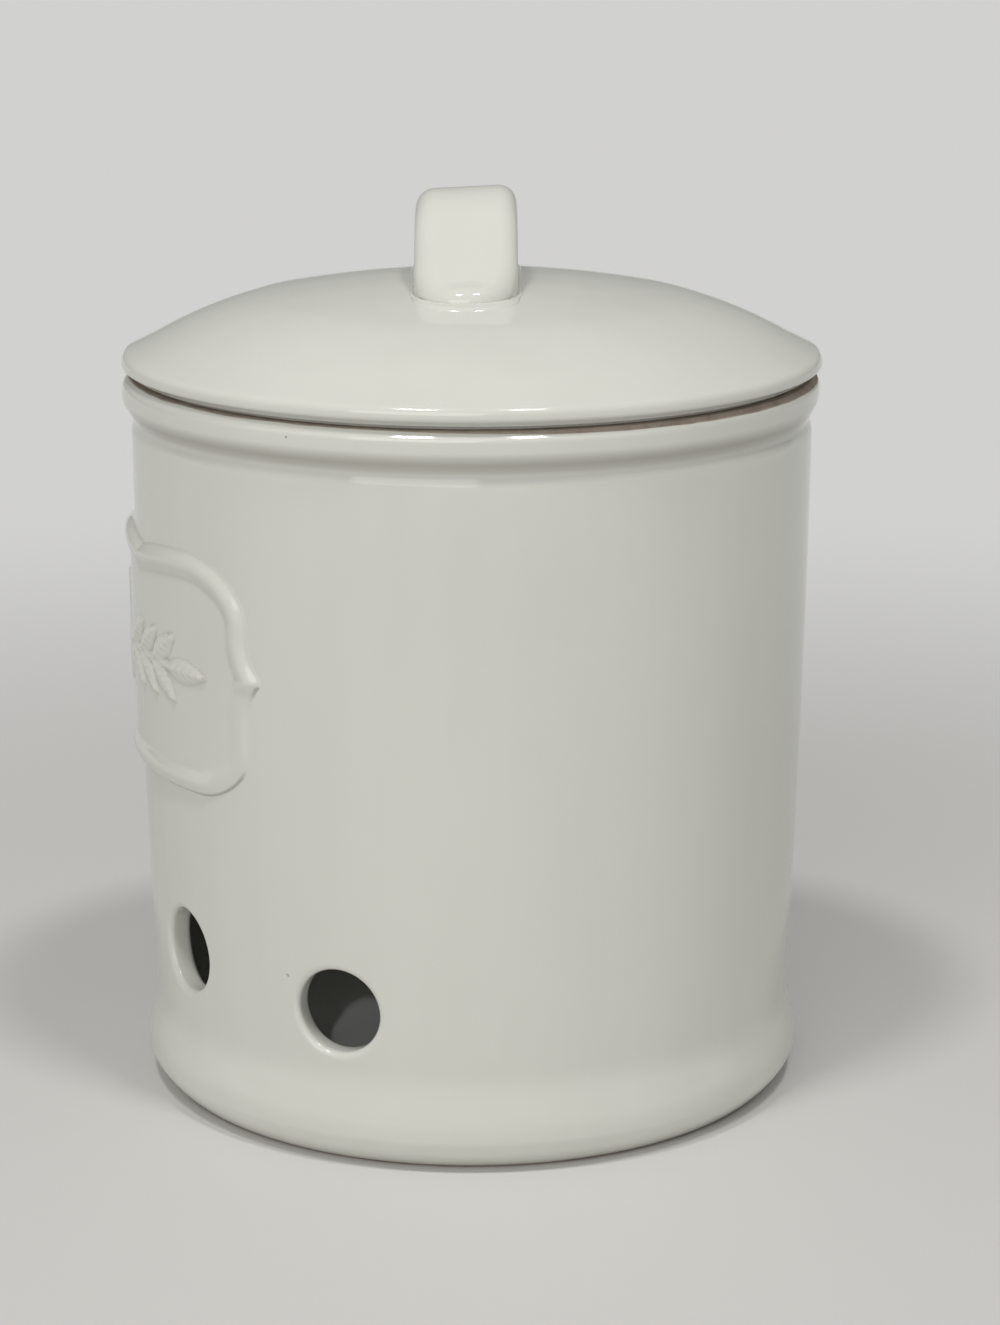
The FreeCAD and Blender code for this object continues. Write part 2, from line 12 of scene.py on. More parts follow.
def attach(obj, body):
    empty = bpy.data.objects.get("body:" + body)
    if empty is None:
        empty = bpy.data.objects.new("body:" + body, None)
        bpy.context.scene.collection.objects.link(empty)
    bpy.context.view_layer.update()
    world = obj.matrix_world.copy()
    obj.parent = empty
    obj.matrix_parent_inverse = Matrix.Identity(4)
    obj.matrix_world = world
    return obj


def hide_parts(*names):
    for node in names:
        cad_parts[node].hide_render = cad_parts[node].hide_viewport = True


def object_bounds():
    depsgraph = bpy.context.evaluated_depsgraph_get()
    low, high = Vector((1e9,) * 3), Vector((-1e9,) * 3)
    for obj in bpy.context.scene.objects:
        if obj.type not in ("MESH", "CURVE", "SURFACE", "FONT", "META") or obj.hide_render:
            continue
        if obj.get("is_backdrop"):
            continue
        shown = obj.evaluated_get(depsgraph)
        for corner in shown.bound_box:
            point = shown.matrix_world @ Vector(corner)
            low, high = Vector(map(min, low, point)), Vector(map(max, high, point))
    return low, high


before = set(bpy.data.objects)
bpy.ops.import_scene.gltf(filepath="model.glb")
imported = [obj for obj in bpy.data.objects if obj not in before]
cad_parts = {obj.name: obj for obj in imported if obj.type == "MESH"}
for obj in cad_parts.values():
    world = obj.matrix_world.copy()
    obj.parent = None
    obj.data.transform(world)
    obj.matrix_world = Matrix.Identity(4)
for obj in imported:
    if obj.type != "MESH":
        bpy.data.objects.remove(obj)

# Garlic keeper: a slip-cast, glazed jar with vent holes, a raised plaque and a domed lid
# with a bow-shaped handle. Shapes are worked out in millimetres, in the CAD frame: +Z up, the
# plaque faces -Y and the long way of the handle lies along X. Angles go round Z from +X.

log = logging.getLogger("garlic_keeper")

MM = 0.001
FRONT = -math.pi / 2
# Point attribute with the surface's hollowness plus painted shade.
HOLLOW_SHADE = "glaze_hollow_shade"
BARE = "bare_reach"

Span = tuple[float, float]
Triple = tuple[float, float, float]
Colour = tuple[float, float, float, float]
# Where a value starts and ends, and what it is carried to.
Ramp = tuple[float, float, float, float]
# What a node's input takes.
Feed = float | tuple[float, ...] | bpy.types.NodeSocket

# How far a piece without bare clay lies from the edge of its glaze, in millimetres.
GLAZED = -5.0
# Distances that count as none: along an outline, between its points, and in metres.
NO_WAY = 1e-6
NO_STEP = 1e-4
WELD = 1e-6
# Sides of a loop that distances are worked out to in one go.
SIDES_AT_ONCE = 24


# ----------------------------------------------------------------------------- outlines


@dataclass(frozen=True)
class Corner:
    """A corner of an outline, with its rounding and the bow of the line that leaves it.

    bow is the radius of that line's arc: 0 is straight, and a positive bow bulges to the
    right of the way along the outline.
    """

    across: float
    up: float
    rounding: float = 0.0
    bow: float = 0.0


def bowed_line(start: np.ndarray, end: np.ndarray, bow: float, spacing: float) -> np.ndarray:
    """Points of a straight or bowed line, without its end point.

    A point at the share t of the chord stands off it by the height of a circle of the bow's
    radius over the chord: sqrt(bow^2 - along^2) - sqrt(bow^2 - half^2).

    Args:
        start: First point, (across, up).
        end: Last point, which the next line starts with.
        bow: Radius of the arc, positive to the right of the way, 0 for a straight line.
        spacing: Longest distance between points.

    Returns:
        Points, one a row.
    """
    way = end - start
    length = float(np.hypot(*way))
    shares = np.linspace(0.0, 1.0, max(1, math.ceil(length / spacing)), endpoint=False)
    points = start + shares[:, None] * way
    if bow:
        along = (shares - 0.5) * length
        height = np.sqrt(bow**2 - along**2) - math.sqrt(bow**2 - length**2 / 4)
        right = np.array([way[1], -way[0]]) / length
        points = points + math.copysign(1.0, bow) * height[:, None] * right
    return points


def outline(
    corners: list[Corner], spacing: float, turn: float = 9.0, closed: bool = False,
) -> np.ndarray:
    """Points of an outline with rounded corners.

    Each rounding replaces the stretch of the outline within R * tan(half the corner's turn)
    of the corner by a conic with its middle control point at the corner and the weight
    cos(half the turn), which is a circular arc between straight lines.

    Args:
        corners: Corners in order.
        spacing: Longest distance between points on the lines.
        turn: Most degrees between the points of a rounding.
        closed: True where the last corner joins the first.

    Returns:
        Points, one a row.
    """
    spots = [np.array([c.across, c.up]) for c in corners]
    count = len(corners)
    runs = [
        bowed_line(spots[i], spots[(i + 1) % count], corners[i].bow, spacing)
        for i in range(count if closed else count - 1)
    ]
    raw = np.vstack(runs + [spots[0] if closed else spots[-1]])
    reach = np.concatenate([[0.0], np.cumsum(np.hypot(*np.diff(raw, axis=0).T))])
    starts = np.concatenate([[0], np.cumsum([len(run) for run in runs])])

    def at(place: float) -> np.ndarray:
        """The point at a distance along the raw outline."""
        return np.array([np.interp(place, reach, column) for column in raw.T])

    parts = []
    left_off = -1.0
    for i, corner in enumerate(corners):
        place = reach[starts[i]] if i < len(starts) else reach[-1]
        cut = 0.0
        if corner.rounding and 0 < i < count - 1 + closed:
            before, after = np.diff(raw[starts[i] - 1:starts[i] + 2], axis=0)
            cross = before[0] * after[1] - before[1] * after[0]
            bend = abs(math.atan2(cross, float(before @ after)))
            cut = corner.rounding * math.tan(bend / 2)
        parts.append(raw[(reach > left_off + NO_WAY) & (reach < place - cut - NO_WAY)])
        if cut:
            number = max(3, math.ceil(math.degrees(bend) / turn) + 1)
            t = np.linspace(0.0, 1.0, number)[:, None]
            first = (1 - t) ** 2
            middle = 2 * t * (1 - t) * math.cos(bend / 2)
            last = t**2
            rounded = first * at(place - cut) + middle * spots[i] + last * at(place + cut)
            parts.append(rounded / (first + middle + last))
        else:
            parts.append(spots[i][None])
        left_off = place + cut
    if closed:
        parts.append(raw[(reach > left_off + NO_WAY) & (reach < reach[-1] - NO_WAY)])
    points = np.vstack(parts)
    steps = np.hypot(*np.diff(points, axis=0, prepend=points[:1] - 1.0).T)
    return points[steps > NO_STEP]


def swell(values: np.ndarray, low: float, high: float) -> np.ndarray:
    """Rises smoothly from 0 at low to 1 at high, as 3t^2 - 2t^3."""
    t = np.clip((values - low) / (high - low), 0.0, 1.0)
    return t * t * (3 - 2 * t)


def bell(away: np.ndarray, width: float) -> np.ndarray:
    """Falls smoothly from 1 in the middle to 0 far away, as exp(-(away / width)^2)."""
    return np.exp(-((away / width) ** 2))


def polar(points: np.ndarray) -> tuple[np.ndarray, np.ndarray]:
    """Angles round Z and distances from it."""
    return np.arctan2(points[:, 1], points[:, 0]), np.hypot(points[:, 0], points[:, 1])


def pushed_out(points: np.ndarray, push: np.ndarray) -> np.ndarray:
    """Points moved away from Z by push: x and y times 1 + push / radius."""
    scale = 1 + push / np.maximum(polar(points)[1], 1.0)
    return points * np.column_stack([scale, scale, np.ones(len(points))])


@dataclass(frozen=True)
class Wave:
    """A slow wave round a fired piece: its size, number to a turn and phase in radians.

    drift is the height over which the wave turns by a radian.
    """

    size: float
    number: int
    phase: float = 0.0
    drift: float = math.inf

    def push(self, angle: np.ndarray, height: np.ndarray) -> np.ndarray:
        """How far it moves points outwards: A cos(n a + p + z / d)."""
        return self.size * np.cos(self.number * angle + self.phase + height / self.drift)


# ------------------------------------------------------------------------------- meshes


def numbered(shape: tuple[int, ...], first: int = 0) -> np.ndarray:
    """Point numbers of a grid, row by row."""
    return first + np.arange(math.prod(shape)).reshape(shape)


def quads(index: np.ndarray, wrap: bool, kept: np.ndarray | None = None) -> np.ndarray:
    """Four-sided faces between neighbouring rows and columns of a grid of point numbers.

    Args:
        index: Point numbers, rows by columns.
        wrap: True where the last column joins the first.
        kept: Cells to keep, or None for all.

    Returns:
        Faces, one a row.
    """
    right = np.roll(index, -1, axis=1) if wrap else index[:, 1:]
    left = index if wrap else index[:, :-1]
    faces = np.stack([left[:-1], right[:-1], right[1:], left[1:]], axis=-1)
    return faces[kept] if kept is not None else faces.reshape(-1, 4)


def curvature(mesh: bpy.types.Mesh) -> np.ndarray:
    """How hollow the surface is at each point, in 1/mm: negative on an arris, positive in a cove.

    It is the mean step from a point to its neighbours, seen along the normal, over half
    the mean square of those steps, and is then averaged with the neighbours twice.

    Args:
        mesh: A mesh in metres with its normals pointing out.

    Returns:
        One number a point.
    """
    count = len(mesh.vertices)
    points = np.empty(count * 3)
    mesh.vertices.foreach_get("co", points)
    points = points.reshape(-1, 3) / MM
    normals = np.empty(count * 3)
    mesh.vertex_normals.foreach_get("vector", normals)
    normals = normals.reshape(-1, 3)
    ends = np.empty(len(mesh.edges) * 2, dtype=np.int64)
    mesh.edges.foreach_get("vertices", ends)
    first, second = ends.reshape(-1, 2).T

    def summed(at_first: np.ndarray, at_second: np.ndarray) -> np.ndarray:
        """Sums at each point what its edges bring to their first and second ends."""
        return np.bincount(first, at_first, count) + np.bincount(second, at_second, count)

    step = points[second] - points[first]
    square = (step**2).sum(axis=1)
    ones = np.ones(len(first))
    number = summed(ones, ones)
    rise = summed((step * normals[first]).sum(axis=1), -(step * normals[second]).sum(axis=1))
    hollow = 2 * rise / np.maximum(summed(square, square), 1e-9)
    for _ in range(2):
        hollow = (hollow + summed(hollow[second], hollow[first]) / number) / 2
    return hollow


def place_in_scene(name: str, data: bpy.types.ID) -> bpy.types.Object:
    """Makes an object of some data and links it to the scene."""
    made = bpy.data.objects.new(name, data)
    bpy.context.scene.collection.objects.link(made)
    return made


def make_piece(
    name: str, points: np.ndarray, faces: list[np.ndarray], body: str,
    material: bpy.types.Material, replaced: tuple[str, ...], bare: np.ndarray,
    painted_shade: np.ndarray | None = None,
) -> bpy.types.Object:
    """Makes a closed, smooth piece that rides on a body of the frame.

    Args:
        name: Name of the piece.
        points: Points in millimetres, one a row.
        faces: Blocks of faces, each an array of point numbers.
        body: The CAD body that it moves with.
        material: Its finish.
        replaced: CAD nodes that it stands for.
        bare: For each point, how far it lies beyond the edge of the glaze, in millimetres.
        painted_shade: For each point, painted shade that is added to its hollowness.

    Returns:
        The object.
    """
    mesh = bpy.data.meshes.new(name)
    rows = [face for block in faces for face in block.tolist()]
    mesh.from_pydata((points * MM).tolist(), [], rows)
    for label, values in ((BARE, bare), (HOLLOW_SHADE, painted_shade)):
        attribute = mesh.attributes.new(label, "FLOAT", "POINT")
        if values is not None:
            attribute.data.foreach_set("value", values.astype(np.float32))
    work = bmesh.new()
    work.from_mesh(mesh)
    bmesh.ops.remove_doubles(work, verts=work.verts, dist=WELD)
    bmesh.ops.recalc_face_normals(work, faces=work.faces)
    open_edges = sum(1 for edge in work.edges if len(edge.link_faces) != 2)
    work.to_mesh(mesh)
    work.free()
    mesh.polygons.foreach_set("use_smooth", np.ones(len(mesh.polygons), dtype=bool))
    hollow_and_shade = np.empty(len(mesh.vertices), dtype=np.float32)
    mesh.attributes[HOLLOW_SHADE].data.foreach_get("value", hollow_and_shade)
    # Painted shade from the caller is added to the hollowness; both draw the glaze toward the
    # pooled, darker tone.
    hollow_and_shade += curvature(mesh).astype(np.float32)
    mesh.attributes[HOLLOW_SHADE].data.foreach_set("value", hollow_and_shade)
    mesh.materials.append(material)
    piece = place_in_scene(name, mesh)
    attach(piece, body)
    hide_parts(*replaced)
    log.info(
        "%s: %d points, %d faces, %d open edges",
        name, len(mesh.vertices), len(mesh.polygons), open_edges,
    )
    return piece


def turned(path: np.ndarray, columns: int) -> np.ndarray:
    """Turns a path of (radius, height) about Z: point (row, column) is (r cos a, r sin a, z).

    Args:
        path: Radius and height, one a row.
        columns: Number of steps round the circle.

    Returns:
        Points, rows by columns by 3.
    """
    angle = np.arange(columns) * (2 * math.pi / columns)
    radius = path[:, :1]
    height = np.broadcast_to(path[:, 1:], (len(path), columns))
    return np.stack([radius * np.cos(angle), radius * np.sin(angle), height], axis=-1)


# ----------------------------------------------------------------------------- finishes


class Nodes:
    """Adds and links nodes of one tree in few words."""

    def __init__(self, tree: bpy.types.NodeTree) -> None:
        """Starts with an empty tree."""
        self.tree = tree
        tree.nodes.clear()

    def add(
        self, kind: str, inputs: dict[str | int, Feed] | None = None, **settings: object,
    ) -> bpy.types.Node:
        """Adds a node.

        Args:
            kind: Type of node, without its ShaderNode prefix.
            inputs: Values or sockets for its inputs, by name or number.
            **settings: Properties of the node.

        Returns:
            The node.
        """
        node = self.tree.nodes.new(kind if kind.startswith("NodeGroup") else f"ShaderNode{kind}")
        for key, value in settings.items():
            setattr(node, key, value)
        for key, value in (inputs or {}).items():
            if isinstance(value, bpy.types.NodeSocket):
                self.tree.links.new(value, node.inputs[key])
            else:
                node.inputs[key].default_value = value
        return node

    def math(self, operation: str, *values: Feed) -> bpy.types.NodeSocket:
        """A Math node's result for values or sockets."""
        return self.add("Math", dict(enumerate(values)), operation=operation).outputs[0]

    def plus(self, first: Feed, second: Feed) -> bpy.types.NodeSocket:
        """The sum of two values or sockets."""
        return self.math("ADD", first, second)

    def times(self, first: Feed, second: Feed) -> bpy.types.NodeSocket:
        """The product of two values or sockets."""
        return self.math("MULTIPLY", first, second)

    def ramp(
        self, value: Feed, low: float, high: float, start: float = 0.0, end: float = 1.0,
    ) -> bpy.types.NodeSocket:
        """A value carried smoothly from low..high to start..end."""
        inputs = {"Value": value, "From Min": low, "From Max": high, "To Min": start, "To Max": end}
        return self.add("MapRange", inputs, interpolation_type="SMOOTHSTEP").outputs["Result"]

    def mix(self, share: Feed, first: Feed, second: Feed) -> bpy.types.NodeSocket:
        """A mix of two colours."""
        return self.add("Mix", {0: share, 6: first, 7: second}, data_type="RGBA").outputs[2]

    def blend(self, share: Feed, first: Feed, second: Feed) -> bpy.types.NodeSocket:
        """A mix of two numbers."""
        return self.add("Mix", {0: share, 2: first, 3: second}, data_type="FLOAT").outputs[0]

    def noise(
        self, place: Feed, scale: float, detail: float = 2.0, roughness: float = 0.5,
    ) -> bpy.types.NodeSocket:
        """A noise of 0 to 1 at a place in metres, with scale features to the metre."""
        inputs = {"Vector": place, "Scale": scale, "Detail": detail, "Roughness": roughness}
        return self.add("TexNoise", inputs).outputs["Fac"]

    def stretched(self, place: Feed, scale: Triple) -> bpy.types.NodeSocket:
        """A place with each axis scaled."""
        return self.add("Mapping", {"Vector": place, "Scale": scale}).outputs["Vector"]


class Socket(Enum):
    """Kinds of group sockets."""

    COLOUR = "NodeSocketColor"
    NUMBER = "NodeSocketFloat"
    PLACE = "NodeSocketVector"


def new_group(
    name: str, inputs: dict[str, Socket], outputs: dict[str, Socket],
) -> tuple[Nodes, bpy.types.bpy_prop_collection]:
    """Starts a shader node group.

    Args:
        name: Name of the group.
        inputs: Input sockets.
        outputs: Output sockets.

    Returns:
        The group's nodes and what its inputs bring, by name.
    """
    tree = bpy.data.node_groups.new(name, "ShaderNodeTree")
    for sockets, way in ((inputs, "INPUT"), (outputs, "OUTPUT")):
        for label, kind in sockets.items():
            tree.interface.new_socket(label, in_out=way, socket_type=kind.value)
    nodes = Nodes(tree)
    return nodes, nodes.add("NodeGroupInput").outputs


@dataclass(frozen=True)
class GlazeTone:
    """Colour of a fired glaze: pooled glaze with painted shade in coves, thin on arrises,
    softly mottled and specked.

    A span gives the values where a share starts and ends, and the most that it reaches.
    """

    detail: float = 3.0
    cloud_scale: float = 22.0
    cloud_share: float = 0.6
    streak_scale: Triple = (90.0, 90.0, 9.0)
    streak_share: float = 0.4
    drift_span: Triple = (0.36, 0.66, 0.08)
    # How hollowness with painted shade carries the colour to the darker pooled and shaded tone.
    pooled_shade_span: Triple = (0.03, 0.75, 0.9)
    thin_span: Triple = (-0.20, -0.9, 0.7)
    cloud_wear: float = -0.12
    cell_scale: float = 210.0
    least_dot: float = 0.03
    dot_growth: float = 0.10
    speck_share: float = 0.55

    def build(self) -> bpy.types.NodeTree:
        """Makes the group.

        The pooled and thin shares follow the surface's hollowness, to which painted shade is
        added under the bead and the plaque; the pooled share darkens coves and creases, partly
        as pooled glaze and partly as painted shade. Broad noise and noise drawn out down the
        wall move the colour a little, and small cells, most of them empty, give specks and
        pinholes.

        Returns:
            The group.
        """
        colours = ("Body", "Pooled and shaded", "Thin", "Speck")
        nodes, given = new_group(
            "glaze_tone",
            {"Place": Socket.PLACE, "Hollow and shade": Socket.NUMBER}
            | dict.fromkeys(colours, Socket.COLOUR) | {"Specks": Socket.NUMBER},
            {"Colour": Socket.COLOUR, "Specked": Socket.NUMBER},
        )
        cloud = nodes.noise(given["Place"], self.cloud_scale, self.detail)
        drawn_out = nodes.stretched(given["Place"], self.streak_scale)
        streak = nodes.noise(drawn_out, 1.0, self.detail)
        drift = nodes.plus(
            nodes.times(cloud, self.cloud_share), nodes.times(streak, self.streak_share),
        )
        worn = nodes.plus(given["Hollow and shade"], nodes.times(cloud, self.cloud_wear))
        tone = given["Body"]
        # The darker tone in hollows and creases is partly pooled glaze, partly painted shade.
        for value, (low, high, most), colour in (
            (drift, self.drift_span, "Pooled and shaded"),
            (given["Hollow and shade"], self.pooled_shade_span, "Pooled and shaded"),
            (worn, self.thin_span, "Thin"),
        ):
            tone = nodes.mix(nodes.ramp(value, low, high, 0.0, most), tone, given[colour])
        cells = nodes.add("TexVoronoi", {"Vector": given["Place"], "Scale": self.cell_scale})
        chosen = nodes.add("SeparateColor", {"Color": cells.outputs["Color"]})
        rare = nodes.math("LESS_THAN", chosen.outputs["Red"], given["Specks"])
        size = nodes.plus(nodes.times(chosen.outputs["Green"], self.dot_growth), self.least_dot)
        specked = nodes.times(rare, nodes.math("LESS_THAN", cells.outputs["Distance"], size))
        tone = nodes.mix(nodes.times(specked, self.speck_share), tone, given["Speck"])
        nodes.add("NodeGroupOutput", {"Colour": tone, "Specked": specked})
        return nodes.tree


@dataclass(frozen=True)
class GlazeSkin:
    """Height of a glaze's surface in millimetres: slow waves, fine orange peel and pinholes."""

    detail: float = 1.0
    wave_stretch: Triple = (1.0, 1.0, 0.55)
    wave_scale: float = 62.0
    peel_scale: float = 620.0
    pinhole: float = 0.02

    def build(self) -> bpy.types.NodeTree:
        """Makes the group.

        Returns:
            The group.
        """
        nodes, given = new_group(
            "glaze_skin",
            {"Place": Socket.PLACE} | dict.fromkeys(("Waves", "Peel", "Specked"), Socket.NUMBER),
            {"Height": Socket.NUMBER},
        )
        drawn_out = nodes.stretched(given["Place"], self.wave_stretch)
        height = nodes.noise(drawn_out, self.wave_scale, self.detail)
        height = nodes.times(height, given["Waves"])
        peel = nodes.noise(given["Place"], self.peel_scale, self.detail)
        height = nodes.plus(height, nodes.times(peel, given["Peel"]))
        hole = nodes.times(given["Specked"], self.pinhole)
        nodes.add("NodeGroupOutput", {"Height": nodes.math("SUBTRACT", height, hole)})
        return nodes.tree


@dataclass(frozen=True)
class BareClay:
    """Where the glaze ends: a wavering line, with the clay's own mottled colour beyond it.

    A noise is given by its scale, its detail and, where it differs, its roughness.
    """

    waver_noise: Span = (110.0, 2.0)
    waver: float = 0.45
    edge_span: Span = (-0.08, 0.10)
    grain_noise: Triple = (1500.0, 3.0, 0.65)
    grain_span: Ramp = (0.35, 0.75, 0.0, 0.35)
    grain_height: float = 0.03
    stain_noise: Triple = (240.0, 4.0, 0.6)
    stain_span: Span = (0.40, 0.72)

    def build(self) -> bpy.types.NodeTree:
        """Makes the group.

        Returns:
            The group.
        """
        nodes, given = new_group(
            "bare_clay",
            {"Place": Socket.PLACE, "Reach": Socket.NUMBER}
            | dict.fromkeys(("Clay", "Stain"), Socket.COLOUR),
            {"Bare": Socket.NUMBER, "Colour": Socket.COLOUR, "Height": Socket.NUMBER},
        )
        place = given["Place"]
        middling = nodes.math("SUBTRACT", nodes.noise(place, *self.waver_noise), 0.5)
        edge = nodes.plus(given["Reach"], nodes.times(middling, self.waver))
        grain = nodes.noise(place, *self.grain_noise)
        stained = nodes.ramp(nodes.noise(place, *self.stain_noise), *self.stain_span)
        colour = nodes.mix(stained, given["Clay"], given["Stain"])
        colour = nodes.mix(nodes.ramp(grain, *self.grain_span), colour, given["Stain"])
        nodes.add("NodeGroupOutput", {
            "Bare": nodes.ramp(edge, *self.edge_span), "Colour": colour,
            "Height": nodes.times(grain, self.grain_height),
        })
        return nodes.tree


@dataclass(frozen=True)
class Mark:
    """A single firing mark on the glaze: where it is and how it looks.

    core is the share of its radius that is fully marked.
    """

    place: Triple
    radius: float
    strength: float
    depth: float
    core: float = 0.35


# A pit beside a vent and a dark speck on the bead.
MARKS = (
    Mark((57.46, -36.60, 37.70), 0.45, 0.35, 0.20),
    Mark((62.51, -35.13, 146.88), 0.32, 0.75, 0.03),
)


@dataclass(frozen=True)
class IvoryGlaze:
    """Glossy off-white glaze over buff clay."""

    body: Colour = (0.750, 0.756, 0.706, 1.0)
    # Darker tone for coves and creases: partly glaze pooled in hollows, partly painted shade.
    pooled_and_shaded: Colour = (0.468, 0.460, 0.412, 1.0)
    thin: Colour = (0.830, 0.800, 0.735, 1.0)
    speck: Colour = (0.20, 0.16, 0.12, 1.0)
    # Bare clay and its stain, darker than lit bisque: partly the clay's own colour, partly painted
    # shade for the rim band under the lid.
    clay: Colour = (0.41, 0.350, 0.295, 1.0)
    stain: Colour = (0.31, 0.255, 0.21, 1.0)
    roughness: float = 0.075
    clay_roughness: float = 0.85
    ior: float = 1.5
    waves: float = 0.10
    peel: float = 0.0035
    specks: float = 0.002

    def material(
        self, name: str, groups: dict[str, bpy.types.NodeTree], marks: tuple[Mark, ...] = (),
    ) -> bpy.types.Material:
        """Makes the finish for one piece.

        Args:
            name: Name of the material.
            groups: The shared node groups by name.
            marks: Single marks on this piece.

        Returns:
            The material.
        """
        material = bpy.data.materials.new(name)
        material.use_nodes = True
        material.diffuse_color = self.body
        nodes = Nodes(material.node_tree)
        place = nodes.add("TexCoord").outputs["Object"]
        # Hollowness with painted shade added under the bead and the plaque; it drives the darker
        # pooled tone.
        hollow = nodes.add("Attribute", attribute_name=HOLLOW_SHADE).outputs["Fac"]
        reach = nodes.add("Attribute", attribute_name=BARE).outputs["Fac"]
        tone = nodes.add("Group", {
            "Place": place, "Hollow and shade": hollow, "Body": self.body, "Pooled and shaded": self.pooled_and_shaded,
            "Thin": self.thin, "Speck": self.speck, "Specks": self.specks,
        }, node_tree=groups["glaze_tone"]).outputs
        clay = nodes.add("Group", {
            "Place": place, "Reach": reach, "Clay": self.clay, "Stain": self.stain,
        }, node_tree=groups["bare_clay"]).outputs
        skin = nodes.add("Group", {
            "Place": place, "Waves": self.waves, "Peel": self.peel, "Specked": tone["Specked"],
        }, node_tree=groups["glaze_skin"]).outputs
        colour, height = tone["Colour"], skin["Height"]
        for mark in marks:
            spot = tuple(value * MM for value in mark.place)
            away = nodes.add("VectorMath", {0: place, 1: spot}, operation="DISTANCE")
            edge = mark.radius * MM
            share = nodes.ramp(away.outputs["Value"], edge, edge * mark.core)
            colour = nodes.mix(nodes.times(share, mark.strength), colour, self.speck)
            height = nodes.math("SUBTRACT", height, nodes.times(share, mark.depth))
        height = nodes.blend(clay["Bare"], height, clay["Height"])
        bump = nodes.add("Bump", {"Height": height, "Strength": 1.0, "Distance": MM})
        shader = nodes.add("BsdfPrincipled", {
            "Base Color": nodes.mix(clay["Bare"], colour, clay["Colour"]),
            "Roughness": nodes.blend(clay["Bare"], self.roughness, self.clay_roughness),
            "Normal": bump.outputs["Normal"], "IOR": self.ior,
        })
        nodes.add("OutputMaterial", {"Surface": shader.outputs["BSDF"]})
        return material


# ---------------------------------------------------------------------------------- jar


@dataclass(frozen=True)
class Vent:
    """A round vent hole: degrees from the front towards +X, and its height."""

    turn: float
    height: float

    @property
    def angle(self) -> float:
        """Angle of the hole round Z, in radians from +X."""
        return FRONT + math.radians(self.turn)


